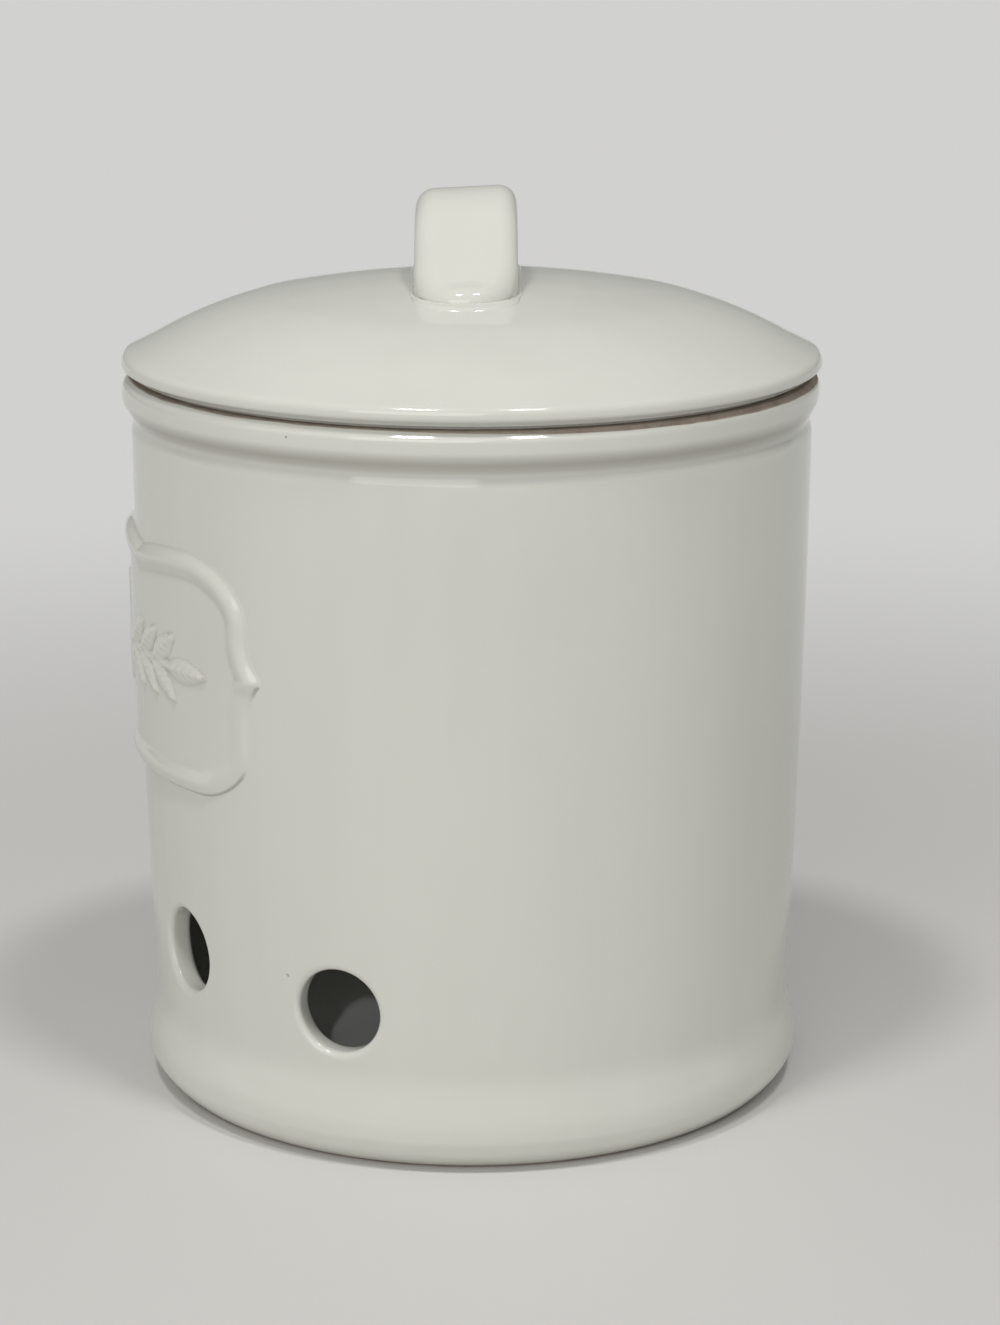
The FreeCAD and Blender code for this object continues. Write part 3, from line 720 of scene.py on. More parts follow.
@dataclass(frozen=True)
class Jar:
    """The cast jar, from its foot to its flat rim.

    cove is the painted shade below the bead: its height, half width and strength.
    crest is the bead's soft upper edge, in corners. vent_apron, vent_bore and
    vent_inner_apron place the rings of a vent as shares of the way, and vent_bends counts
    the rings of its two roundings.
    """

    foot_ring: Span = (57.4, 64.4)
    foot_ring_round: float = 0.8
    recess: float = 1.6
    foot_radius: float = 69.35
    foot_low: float = 5.7
    foot_low_round: float = 4.6
    foot_top: float = 9.9
    foot_top_round: float = 12.0
    foot_bow: float = 14.0
    waist_radius: float = 67.35
    waist_height: float = 17.4
    waist_round: float = 15.0
    wall_top_radius: float = 70.0
    wall_top: float = 140.9
    wall_bow: float = 3400.0
    turn_in: float = 2.6
    turn_in_round: float = 5.0
    groove: float = 0.6
    groove_drop: float = 0.2
    groove_round: float = 1.8
    # Painted shade under the bead: height, half width and strength, and the radii over which it
    # comes in.
    cove_shade: Triple = (142.6, 1.7, 0.72)
    cove_shade_radii: Span = (66.5, 68.0)
    bead_radius: float = 71.55
    bead_low: float = 144.7
    bead_low_round: float = 2.4
    bead_top: float = 147.5
    bead_top_round: float = 1.8
    bead_shift: float = 0.30
    bead_reach: float = 4.0
    crest: tuple[Corner, ...] = (Corner(71.35, 148.0, 1.0), Corner(70.87, 148.54, 1.0))
    rim_radius: float = 70.05
    rim_round: float = 0.5
    rim: float = 149.3
    mouth_round: float = 0.8
    wall: float = 5.0
    floor: float = 7.0
    floor_round: float = 7.0
    spacing: float = 3.2
    turn: float = 6.0
    columns: int = 288
    waves: tuple[Wave, ...] = (Wave(0.09, 2, 0.4, 90.0), Wave(0.05, 3, -1.1, -60.0))
    waves_from: float = 12.0
    wall_radii: Span = (40.0, 60.0)
    # Bare band under the lid's edge, taller on the +Y side: partly unglazed rim, partly painted
    # shade where the lid shades the rim.
    rim_bare_shade: Span = (0.15, 0.95)
    rim_bare_shade_turn: float = 0.25
    rim_bare_shade_span: Span = (-0.1, 0.9)
    mouth_bare: float = 1.0
    mouth_bare_drop: float = 0.4
    foot_bare: float = 0.55
    foot_bare_inside: float = 1.0
    vent_row: float = 1.5
    vent_rows_from: float = 18.5
    vent_rows: int = 23
    vent_margin: int = 9
    vent_radius: float = 8.65
    vent_rounding: float = 1.4
    vent_inner_rounding: float = 1.0
    vent_apron: tuple[float, ...] = (0.72, 0.46, 0.24, 0.08)
    vent_bore: tuple[float, ...] = (0.33, 0.67)
    vent_inner_apron: tuple[float, ...] = (0.25, 0.6)
    vent_bends: tuple[int, int] = (9, 6)
    vents: tuple[Vent, ...] = (
        Vent(0.0, 36.3), Vent(30.5, 35.2), Vent(-30.5, 35.2), Vent(66.8, 31.7), Vent(-66.8, 31.7),
    )

    def outside(self) -> np.ndarray:
        """Path of the outside, from the middle of the recess under the floor to the rim."""
        inner, outer = self.foot_ring
        turns_in = self.wall_top - self.turn_in
        wall = float(self.wall_radius(np.array(turns_in)))
        return outline([
            Corner(0.0, self.recess),
            Corner(inner - self.recess, self.recess, self.foot_ring_round),
            Corner(inner, 0.0, self.foot_ring_round),
            Corner(outer, 0.0, self.foot_ring_round, self.foot_bow),
            Corner(self.foot_radius, self.foot_low, self.foot_low_round),
            Corner(self.foot_radius, self.foot_top, self.foot_top_round),
            Corner(self.waist_radius, self.waist_height, self.waist_round, self.wall_bow),
            Corner(wall, turns_in, self.turn_in_round),
            Corner(
                self.wall_top_radius - self.groove, self.wall_top - self.groove_drop,
                self.groove_round,
            ),
            Corner(self.bead_radius, self.bead_low, self.bead_low_round),
            Corner(self.bead_radius, self.bead_top, self.bead_top_round),
            *self.crest,
            Corner(self.rim_radius, self.rim, self.rim_round),
            Corner(self.wall_top_radius - self.wall / 2, self.rim),
        ], self.spacing, self.turn)

    def inside(self) -> np.ndarray:
        """Path of the inside, from the middle of the rim down to the middle of the floor."""
        mouth = self.wall_top_radius - self.wall
        waist = self.waist_radius - self.wall
        return outline([
            Corner(mouth + self.wall / 2, self.rim),
            Corner(mouth, self.rim, self.mouth_round),
            Corner(mouth, self.wall_top, 0.0, -(self.wall_bow - self.wall)),
            Corner(waist, self.waist_height),
            Corner(waist, self.floor, self.floor_round),
            Corner(0.0, self.floor),
        ], self.spacing)

    def vent_heights(self) -> np.ndarray:
        """Heights of the even rows of points in the band of the vents."""
        return self.vent_rows_from + self.vent_row * np.arange(self.vent_rows)

    def with_even_rows(self, path: np.ndarray) -> tuple[np.ndarray, int]:
        """Gives a path the even rows of the vents' band.

        Args:
            path: Radius and height, going up or down through the band once.

        Returns:
            The new path and the number of its first row in the band.
        """
        heights = self.vent_heights()
        low, high = heights[0], heights[-1]
        half = self.vent_row / 2
        going_up = path[-1, 1] > path[0, 1] + self.floor
        climbing = path[path[:, 1] > self.recess + half]
        order = np.argsort(climbing[:, 1], kind="stable")
        radii = np.interp(heights, climbing[order, 1], climbing[order, 0])
        band = np.column_stack([radii, heights])
        below = path[path[:, 1] < low - half]
        above = path[path[:, 1] > high + half]
        if going_up:
            return np.vstack([below, band, above]), len(below)
        return np.vstack([above, band[::-1], below]), len(above)

    def wall_radius(self, height: np.ndarray) -> np.ndarray:
        """Radius of the outside of the wall at heights between waist and bead.

        It is the straight line between waist and wall top, plus the height of the wall's
        arc over that chord.

        Args:
            height: Heights in millimetres.

        Returns:
            Radii in millimetres.
        """
        rise = self.wall_top - self.waist_height
        widening = self.wall_top_radius - self.waist_radius
        half = math.hypot(rise, widening) / 2
        share = (height - self.waist_height) / rise
        along = (share - 0.5) * 2 * half
        arc = np.sqrt(self.wall_bow**2 - along**2) - math.sqrt(self.wall_bow**2 - half**2)
        return self.waist_radius + share * widening + arc

    def settle(self, points: np.ndarray) -> np.ndarray:
        """The small unevenness of a cast and fired jar.

        The radius gets slow waves round the wall that drift with the height, and the bead
        stands out a little more on one side than on the other.

        Args:
            points: Points in millimetres, one a row.

        Returns:
            The moved points.
        """
        angle, radius = polar(points)
        height = points[:, 2]
        waves = sum(wave.push(angle, height) for wave in self.waves)
        near_bead = bell(height - self.bead_low, self.bead_reach)
        push = waves * swell(height, 0.0, self.waves_from)
        push -= self.bead_shift * near_bead * np.sin(angle)
        return pushed_out(points, push * swell(radius, *self.wall_radii))

    def vent_rings(self, vent: Vent, outer: np.ndarray, inner: np.ndarray) -> np.ndarray:
        """Rings of points that lead from the wall's outside through one vent to its inside.

        A point of a ring is given by its distance and angle about the hole's axis, which
        make u across and v up, and by how deep it lies. On the wall it lies at
        sqrt(r(v)^2 - u^2) along the axis, where r is the wall's radius at that height.

        Args:
            vent: The hole.
            outer: Points of the wall's outside round the hole, one a row.
            inner: Points of the wall's inside round the hole, one a row.

        Returns:
            New points, rings by points by 3, outer and inner ones left out.
        """
        axis = np.array([math.cos(vent.angle), math.sin(vent.angle), 0.0])
        across = np.array([-axis[1], axis[0], 0.0])
        u = outer @ across
        v = outer[:, 2] - vent.height
        psi = np.arctan2(v, u)
        far = np.hypot(u, v)
        inner_far = np.hypot(inner @ across, inner[:, 2] - vent.height)

        def ring(rho: np.ndarray | float, thickness: float, rise: float) -> np.ndarray:
            """Points at distances rho, below the outside by thickness, then raised by rise."""
            side = rho * np.cos(psi)
            up = vent.height + rho * np.sin(psi)
            depth = np.sqrt((self.wall_radius(up) - thickness) ** 2 - side**2) + rise
            return depth[:, None] * axis + side[:, None] * across + np.outer(up, [0.0, 0.0, 1.0])

        hole, soft, inner_soft = self.vent_radius, self.vent_rounding, self.vent_inner_rounding
        edge = hole + soft
        inner_edge = hole + inner_soft
        bends, inner_bends = (np.linspace(0.0, math.pi / 2, count) for count in self.vent_bends)
        rings = [ring(edge + (far - hole - soft) * s, 0.0, 0.0) for s in self.vent_apron]
        for bend in bends:
            rho = hole + soft * (1 - math.sin(bend))
            rings.append(ring(rho, 0.0, -soft * (1 - math.cos(bend))))
        front = rings[-1]
        back = ring(hole, self.wall, inner_soft)
        rings.extend(front + (back - front) * s for s in self.vent_bore)
        for bend in inner_bends:
            rho = hole + inner_soft * (1 - math.cos(bend))
            rings.append(ring(rho, self.wall, inner_soft * (1 - math.sin(bend))))
        for s in self.vent_inner_apron:
            rings.append(ring(inner_edge + (inner_far - inner_edge) * s, self.wall, 0.0))
        return np.stack(rings)

    def bare_reach(self, points: np.ndarray) -> np.ndarray:
        """How far each point lies beyond the glaze, in millimetres, at the rim and at the foot.

        The bare band at the rim reaches lower on the +Y side than on the plaque's side; on the
        +Y side it is partly painted shade, standing for the lid's shadow on the rim.

        Args:
            points: Points in millimetres, one a row.

        Returns:
            One number a point, positive on bare clay.
        """
        angle, radius = polar(points)
        height = points[:, 2]
        least, most = self.rim_bare_shade
        # Painted shade: the bare band grows towards +Y, where the lid shades the rim.
        on_shaded_side = swell(np.sin(angle + self.rim_bare_shade_turn), *self.rim_bare_shade_span)
        at_rim = height - (self.rim - (least + (most - least) * on_shaded_side))
        mouth = self.wall_top_radius - self.wall + self.mouth_bare
        in_mouth = height - self.rim + self.mouth_bare_drop - (mouth - radius)
        inside = radius - self.foot_ring[0] + self.foot_bare_inside
        at_foot = np.minimum(self.foot_bare - height, inside)
        return np.maximum(np.where(radius < mouth, in_mouth, at_rim), at_foot)

    def painted_shade(self, points: np.ndarray) -> np.ndarray:
        """Painted shade below the bead, as hollowness: G exp(-((z - z0) / w)^2) outside."""
        height, width, most = self.cove_shade
        return most * bell(points[:, 2] - height, width) * swell(polar(points)[1], *self.cove_shade_radii)

    def build(self, material: bpy.types.Material) -> bpy.types.Object:
        """Makes the jar with its vent holes.

        Args:
            material: Its finish.

        Returns:
            The piece.
        """
        outer_path, outer_row = self.with_even_rows(self.outside())
        inner_path, inner_row = self.with_even_rows(self.inside())
        grid = turned(np.vstack([outer_path, inner_path[1:]]), self.columns)
        inner_row += len(outer_path) - 1 + self.vent_rows - 1
        index = numbered(grid.shape[:2])
        points = [grid.reshape(-1, 3)]
        kept = np.ones((len(grid) - 1, self.columns), dtype=bool)
        faces = []
        next_number = index.size
        block = np.arange(-self.vent_margin, self.vent_margin + 1)
        for vent in self.vents:
            around = (round(vent.angle / (2 * math.pi) * self.columns) + block) % self.columns
            rows = round((vent.height - self.vent_rows_from) / self.vent_row) + block
            low, high = rows[0], rows[-1]
            kept[outer_row + low:outer_row + high, around[:-1]] = False
            kept[inner_row - high:inner_row - low, around[:-1]] = False
            outer_loop = block_loop(index, outer_row + rows, around)
            inner_loop = block_loop(index, inner_row - rows, around)
            rings = self.vent_rings(vent, points[0][outer_loop], points[0][inner_loop])
            numbers = numbered(rings.shape[:2], next_number)
            next_number += numbers.size
            points.append(rings.reshape(-1, 3))
            faces.append(quads(np.vstack([outer_loop, numbers, inner_loop]), wrap=True))
        faces.append(quads(index, wrap=True, kept=kept))
        settled = self.settle(np.vstack(points))
        return make_piece(
            "jar_glazed", settled, faces, "jar", material, ("jar_body",),
            self.bare_reach(settled), self.painted_shade(settled),
        )


def block_loop(index: np.ndarray, rows: np.ndarray, columns: np.ndarray) -> np.ndarray:
    """Point numbers round the edge of a block of a grid, once round without repeats.

    Args:
        index: Point numbers, rows by columns.
        rows: Rows of the block in order.
        columns: Columns of the block in order.

    Returns:
        The numbers along the first row, up the last column, back and down.
    """
    first = index[rows[0], columns[:-1]]
    right = index[rows[:-1], columns[-1]]
    last = index[rows[-1], columns[:0:-1]]
    left = index[rows[:0:-1], columns[0]]
    return np.concatenate([first, right, last, left])


# ------------------------------------------------------------------------------- plaque


@dataclass(frozen=True)
class Plaque:
    """The raised plaque on the front of the wall, with its frame and garlic emblem.

    Sizes are as seen from the front. ridge_middle and ridge_reach are shares of the frame's
    width, fade_sides are shares of half the plaque's width, and run is where painted shade
    lies outside the edge that faces down, over what width and how much.
    """

    jar: Jar
    middle: float = 95.5
    half_width: float = 53.9
    tip_reach: float = 2.2
    tip_rise: float = 1.4
    tip_half_height: float = 8.0
    tip_inside: float = 0.5
    top_rise: float = 24.2
    bottom_drop: float = 24.5
    corner_round: float = 13.0
    low_corner_round: float = 11.0
    arch_half_width: float = 22.5
    dip: float = 2.2
    arch_bow: float = 125.0
    shoulder_bow: float = 120.0
    foot_bow: float = 1500.0
    spacing: float = 0.8
    turn: float = 7.0
    flattening: float = 1.85
    offset: float = 3.0
    clear: float = 0.22
    clear_softness: float = 0.12
    ridge_width: float = 5.0
    ridge_height: float = 0.92
    ridge_middle: float = 0.48
    ridge_reach: float = 0.56
    ridge_power: float = 1.6
    soft_edge: float = 2.4
    crisp_edge: float = 0.5
    edge_span: Span = (-0.35, 0.65)
    downward: Span = (0.35, 0.8)
    low_fade: float = 0.7
    fade_sides: Span = (0.86, 0.97)
    fade_below: Span = (0.3, 3.5)
    panel_from: Span = (-0.4, 1.2)
    # Painted shade outside the lower edge: where, over what width and how much.
    run: Triple = (-0.1, 0.55, 0.9)
    sunk: float = 0.5
    sinks_from: float = 0.3
    sinks_over: float = 1.6
    margin: float = 2.6
    step: float = 0.42
    coarse: int = 8
    backing: float = 2.2

    @property
    def radius(self) -> float:
        """Radius of the wall behind the plaque."""
        return float(self.jar.wall_radius(np.array([self.middle]))[0])

    def edge(self) -> np.ndarray:
        """The plaque's edge as (distance round the wall, height), once round.

        It is drawn as seen from the front, where the sides swell into pointed tips by
        reach * (1 - |t|)^2, and is then laid round the wall: s = R * asin(x / R).

        Returns:
            Points, one a row.
        """
        top = self.middle + self.top_rise
        bottom = self.middle - self.bottom_drop
        side = self.half_width
        arch = self.arch_half_width
        flat = side - self.low_corner_round
        seen = outline([
            Corner(flat, bottom),
            Corner(side, bottom, self.low_corner_round),
            Corner(side, top, self.corner_round, self.shoulder_bow),
            Corner(arch, top - self.dip, 0.0, self.arch_bow),
            Corner(-arch, top - self.dip, 0.0, self.shoulder_bow),
            Corner(-side, top, self.corner_round),
            Corner(-side, bottom, self.low_corner_round),
            Corner(-flat, bottom, 0.0, self.foot_bow),
        ], self.spacing, self.turn, closed=True)
        x, z = seen.T
        away = np.abs(z - self.middle - self.tip_rise) / self.tip_half_height
        on_side = np.abs(x) > side - self.tip_inside
        x = x + np.sign(x) * (self.tip_reach * np.clip(1 - away, 0.0, 1.0) ** 2 * on_side)
        return np.column_stack([self.radius * np.arcsin(x / self.radius), z])

    def face_lift(self, angle: np.ndarray) -> np.ndarray:
        """How far the panel's face stands off the wall at an angle from the front.

        The face is part of a circle tighter than the wall by the flattening, its centre
        moved forward by the offset: a ray meets it at o cos a + sqrt(R^2 - o^2 sin^2 a).
        Where that falls behind the wall the face is kept just clear of it, by the soft
        maximum c + k log(1 + exp((lift - c) / k)).

        Args:
            angle: Angles from the front in radians.

        Returns:
            Distances off the wall.
        """
        tighter = self.radius - self.flattening
        ray = self.offset * np.cos(angle)
        ray += np.sqrt(tighter**2 - (self.offset * np.sin(angle)) ** 2)
        over = (ray - self.radius - self.clear) / self.clear_softness
        return self.clear + np.logaddexp(0.0, over) * self.clear_softness

    def relief(self, s: np.ndarray, z: np.ndarray) -> tuple[np.ndarray, np.ndarray]:
        """Height of the relief over the wall, negative where it dips below it.

        Inside the edge the face's own height is reached over a soft or crisp slope, the
        frame adds a rounded ridge (1 - t^2)^p along the edge that fades below the side
        tips, and the emblem is added on the panel. Outside the edge the surface dips into
        the wall. Painted shade lies along the crease under the lower edge, where it faces down.

        Args:
            s: Distances round the wall from the front, rows by columns.
            z: Heights, rows by columns.

        Returns:
            Heights, and the painted shade under the lower edge, both rows by columns.
        """
        inside = signed_distance(np.column_stack([s.ravel(), z.ravel()]), self.edge())
        inside = inside.reshape(s.shape)
        facing_down = swell(np.gradient(inside, self.step)[0], *self.downward)
        slope = self.soft_edge + (self.crisp_edge - self.soft_edge) * facing_down
        angle = s / self.radius
        low, high = self.edge_span
        base = self.face_lift(angle) * swell(inside, low * slope, high * slope)
        away = inside - self.ridge_middle * self.ridge_width
        t = np.clip(away / (self.ridge_reach * self.ridge_width), -1.0, 1.0)
        low, high = self.fade_sides
        side = swell(np.abs(s), low * self.half_width, high * self.half_width)
        below_tip = swell(self.middle + self.tip_rise - z, *self.fade_below)
        ridge = self.ridge_height * (1 - t * t) ** self.ridge_power
        ridge *= 1 - self.low_fade * side * below_tip
        dips_from = self.sinks_from * slope
        outside = -self.sunk * swell(-inside, dips_from, dips_from + self.sinks_over)
        low, high = self.panel_from
        on_panel = swell(inside, self.ridge_width + low, self.ridge_width + high)
        emblem = Emblem().height(self.radius * np.sin(angle), z - self.middle) * on_panel
        # Painted shade along the crease under the lower edge, where it faces down.
        place, width, most = self.run
        painted_shade = most * bell(inside - place, width) * facing_down
        return base + ridge + outside + emblem, painted_shade

    def build(self, material: bpy.types.Material) -> bpy.types.Object:
        """Makes the plaque as a closed shell: the relief in front and a coarse back in the wall.

        Args:
            material: Its finish.

        Returns:
            The piece.
        """
        edge = self.edge()
        span = np.abs(edge[:, 0]).max() + self.margin
        low = edge[:, 1].min() - self.margin
        high = edge[:, 1].max() + self.margin
        block = self.step * self.coarse
        columns = self.coarse * math.ceil(2 * span / block) + 1
        rows = self.coarse * math.ceil((high - low) / block) + 1
        s, z = np.meshgrid(
            (np.arange(columns) - (columns - 1) / 2) * self.step,
            low + np.arange(rows) * self.step,
        )
        lift, painted_shade = self.relief(s, z)
        thin = slice(None, None, self.coarse)
        front = self.on_wall(s, z, lift)
        back = self.on_wall(s[thin, thin], z[thin, thin], -self.backing)
        index = numbered(front.shape[:2])
        back_index = numbered(back.shape[:2], index.size)
        rim, back_rim = (
            block_loop(grid, *(np.arange(count) for count in grid.shape))
            for grid in (index, back_index)
        )
        points = np.vstack([front.reshape(-1, 3), back.reshape(-1, 3)])
        faces = [
            quads(index, wrap=False), quads(back_index, wrap=False)[:, ::-1],
            *stepped_strip(rim, back_rim, self.coarse),
        ]
        return make_piece(
            "plaque_relief", self.jar.settle(points), faces, "jar", material,
            ("label_plaque", "plaque_emblem"), np.full(len(points), GLAZED),
            np.concatenate([painted_shade.ravel(), np.zeros(back_index.size)]),
        )

    def on_wall(self, s: np.ndarray, z: np.ndarray, lift: np.ndarray | float) -> np.ndarray:
        """Points that stand off the wall by lift, at distances s round it and heights z.

        Args:
            s: Distances round the wall from the front, rows by columns.
            z: Heights, rows by columns.
            lift: How far they stand off the wall.

        Returns:
            Points, rows by columns by 3.
        """
        angle = s / self.radius
        radius = self.jar.wall_radius(z) + lift
        return np.stack([radius * np.sin(angle), -radius * np.cos(angle), z], axis=-1)


def stepped_strip(fine: np.ndarray, coarse: np.ndarray, ratio: int) -> list[np.ndarray]:
    """Faces between a fine closed loop and a coarse one that has one point for every few.

    Args:
        fine: Point numbers of the fine loop.
        coarse: Point numbers of the coarse loop, the first beside the first fine one.
        ratio: Fine steps for one coarse step.

    Returns:
        A block of triangles and one of four-sided faces.
    """
    number = np.arange(len(fine))
    here = ((number + ratio // 2) // ratio) % len(coarse)
    following = ((number + 1 + ratio // 2) // ratio) % len(coarse)
    after = np.roll(fine, -1)
    same = here == following
    triangles = np.column_stack([fine, coarse[here], after])[same]
    steps = np.column_stack([fine, coarse[here], coarse[following], after])[~same]
    return [triangles, steps]


def signed_distance(points: np.ndarray, loop: np.ndarray) -> np.ndarray:
    """Distance of points to a closed loop, positive inside it.

    The distance to each side of the loop is that to the nearest point of the side, and a
    point is inside where a ray to the right crosses the loop an odd number of times.

    Args:
        points: Points, one a row.
        loop: Corners of the loop, one a row.

    Returns:
        One distance a point.
    """
    best = np.full(len(points), np.inf)
    inside = np.zeros(len(points), dtype=bool)
    px, py = points[:, :1], points[:, 1:]
    following = np.roll(loop, -1, axis=0)
    for part in np.array_split(np.arange(len(loop)), max(1, len(loop) // SIDES_AT_ONCE)):
        ax, ay = loop[part].T
        bx, by = following[part].T
        wx, wy = bx - ax, by - ay
        share = np.clip(((px - ax) * wx + (py - ay) * wy) / (wx**2 + wy**2), 0.0, 1.0)
        square = (px - ax - share * wx) ** 2 + (py - ay - share * wy) ** 2
        best = np.minimum(best, square.min(axis=1))
        level = (ay > py) != (by > py)
        height = np.where(wy == 0, 1.0, wy)
        crossed = level & (px < ax + (py - ay) / height * wx)
        inside ^= crossed.sum(axis=1) % 2 == 1
    return np.where(inside, 1.0, -1.0) * np.sqrt(best)


@dataclass(frozen=True)
class Emblem:
    """A garlic bulb between two leafy sprigs, in low relief. Sizes are as seen from the front.

    cloves gives each groove's share of the bulb's half width, and its strength.
    """

    relief: float = 0.85
    join: int = 4
    bulb_base: float = -11.5
    bulb_neck: float = 6.5
    bulb_tip: float = 12.6
    belly: float = 0.40
    belly_half_width: float = 9.6
    belly_power: float = 2.3
    bulb_dome: float = 0.55
    base_span: Span = (-0.2, 0.8)
    tip_span: Span = (-0.9, 0.3)
    neck_half_width: float = 1.7
    neck_power: float = 1.15
    neck_taper: float = 0.25
    cloves: tuple[Span, ...] = ((0.30, 1.0), (0.74, 0.9))
    clove_width: float = 0.50
    clove_depth: float = 0.34
    clove_from: float = 0.35
    clove_end: Span = (0.85, 1.2)
    clove_fade: float = 0.75
    root_pitch: float = 0.9
    root_depth: float = 0.12
    root_rise: float = 2.0
    sprig_from: Span = (7.0, 9.0)
    sprig_end: float = 37.0
    sprig_fade: float = 2.0
    stem_half_width: float = 0.95
    stem_relief: float = 0.62
    stem_dome: float = 0.7
    leaf_length: float = 11.0
    leaf_width: float = 4.8
    leaf_skew: float = 0.85
    leaf_point: float = 0.8
    leaf_start: float = 15.0
    leaf_pitch: float = 7.0
    leaf_pairs: int = 3
    leaf_angle: float = 38.0
    leaf_rise: float = 0.80
    leaf_dome: float = 0.6
    end_leaf: float = 35.2
    vein_pitch: float = 1.9
    vein_slant: float = 0.9
    vein_depth: float = 0.11
    rib_width: float = 0.42
    rib_height: float = 0.20
    rib_fade: float = 0.6

    def height(self, x: np.ndarray, y: np.ndarray) -> np.ndarray:
        """Height of the emblem over the panel.

        The bulb, the stem and the leaves are joined as the fourth root of the sum of their
        fourth powers, which is soft where they meet.

        Args:
            x: Distances across, from the middle.
            y: Heights over the middle line.

        Returns:
            Heights in millimetres.
        """
        x = np.abs(x)
        forms = [self.bulb(x, y), self.stem(x, y), self.leaf(x - self.end_leaf, y, 0.0)]
        for i in range(self.leaf_pairs):
            base = self.leaf_start + i * self.leaf_pitch
            forms.append(self.leaf(x - base, np.abs(y), self.leaf_angle))
        return np.power(sum(form**self.join for form in forms), 1 / self.join)

    def stem(self, x: np.ndarray, y: np.ndarray) -> np.ndarray:
        """The stem: a rounded bar (1 - t^2)^p across, that fades in beside the bulb.

        Args:
            x: Distances across, from the middle.
            y: Heights over the middle line.

        Returns:
            Heights in millimetres.
        """
        t = np.clip(np.abs(y) / self.stem_half_width, 0.0, 1.0)
        along = swell(x, *self.sprig_from)
        along = along * (1 - swell(x, self.sprig_end - self.sprig_fade, self.sprig_end))
        return self.stem_relief * self.relief * (1 - t * t) ** self.stem_dome * along

    def leaf(self, x: np.ndarray, y: np.ndarray, angle: float) -> np.ndarray:
        """One leaf: a pointed oval, domed across, with a raised midrib and slanting veins.

        Its half width is w = W/2 * sin(pi t^p)^q at the share t of its length, and its dome
        is (1 - (b/w)^2)^r, lower by a cosine of the veins' slanting distance.

        Args:
            x: Distances from the leaf's base along the stem.
            y: Distances from the stem.
            angle: Degrees between the leaf and the stem.

        Returns:
            Heights in millimetres.
        """
        turn = math.radians(angle)
        a = x * math.cos(turn) + y * math.sin(turn)
        b = y * math.cos(turn) - x * math.sin(turn)
        t = np.clip(a / self.leaf_length, 0.0, 1.0)
        swelling = np.sin(math.pi * t**self.leaf_skew) ** self.leaf_point
        half = self.leaf_width / 2 * swelling + NO_WAY
        share = np.clip(1 - (b / half) ** 2, 0.0, 1.0) * (t > 0) * (t < 1)
        slanting = a - self.vein_slant * np.abs(b)
        veins = self.vein_depth * np.cos(2 * math.pi * slanting / self.vein_pitch) * share
        midrib = self.rib_height * bell(b, self.rib_width) * share * (1 - self.rib_fade * t)
        surface = share**self.leaf_dome * (self.leaf_rise + veins) + midrib
        return self.relief * np.clip(surface, 0.0, None)

    def bulb(self, x: np.ndarray, y: np.ndarray) -> np.ndarray:
        """The bulb: a round base, shoulders that sweep into a slim neck, and cloves.

        With u from 0 at the base to 1 at the neck and m the belly's place, the half width is
        w = W (1 - (1 - u/m)^p)^0.5 below the belly, and above it W falls along a cosine to
        the neck's. The dome is (1 - (x/w)^2)^q, and each groove between two cloves follows a
        fixed share of the half width from base to neck.

        Args:
            x: Distances across, from the middle.
            y: Heights over the middle line.

        Returns:
            Heights in millimetres.
        """
        base, tip = self.bulb_base, self.bulb_tip
        u = (y - base) / (self.bulb_neck - base)
        rise = np.clip(u / self.belly, 0.0, 1.0)
        low = self.belly_half_width * np.sqrt(1 - (1 - rise) ** self.belly_power)
        fall = np.clip((u - self.belly) / (1 - self.belly), 0.0, 1.0)
        sweep = (0.5 + 0.5 * np.cos(math.pi * fall)) ** self.neck_power
        high = self.neck_half_width + (self.belly_half_width - self.neck_half_width) * sweep
        half = np.where(u < self.belly, low, high)
        half = half * (1 - self.neck_taper * swell(y, self.bulb_neck, tip)) + NO_WAY
        (base_low, base_high), (tip_low, tip_high) = self.base_span, self.tip_span
        ends = swell(y, base + base_low, base + base_high)
        ends = ends * (1 - swell(y, tip + tip_low, tip + tip_high))
        side = x / half
        share = np.clip(1 - side**2, 0.0, 1.0)
        grooves = sum(
            depth * bell((side - place) * half, self.clove_width) for place, depth in self.cloves
        )
        fading = 1 - self.clove_fade * swell(u, *self.clove_end)
        fading = swell(u, 0.0, self.clove_from) * fading
        roots = self.root_depth * np.cos(2 * math.pi * x / self.root_pitch)
        roots = roots * (1 - swell(y, base, base + self.root_rise))
        surface = share**self.bulb_dome - self.clove_depth * grooves * fading * share
        return self.relief * np.clip(surface + roots * share, 0.0, None) * ends


# ---------------------------------------------------------------------------------- lid


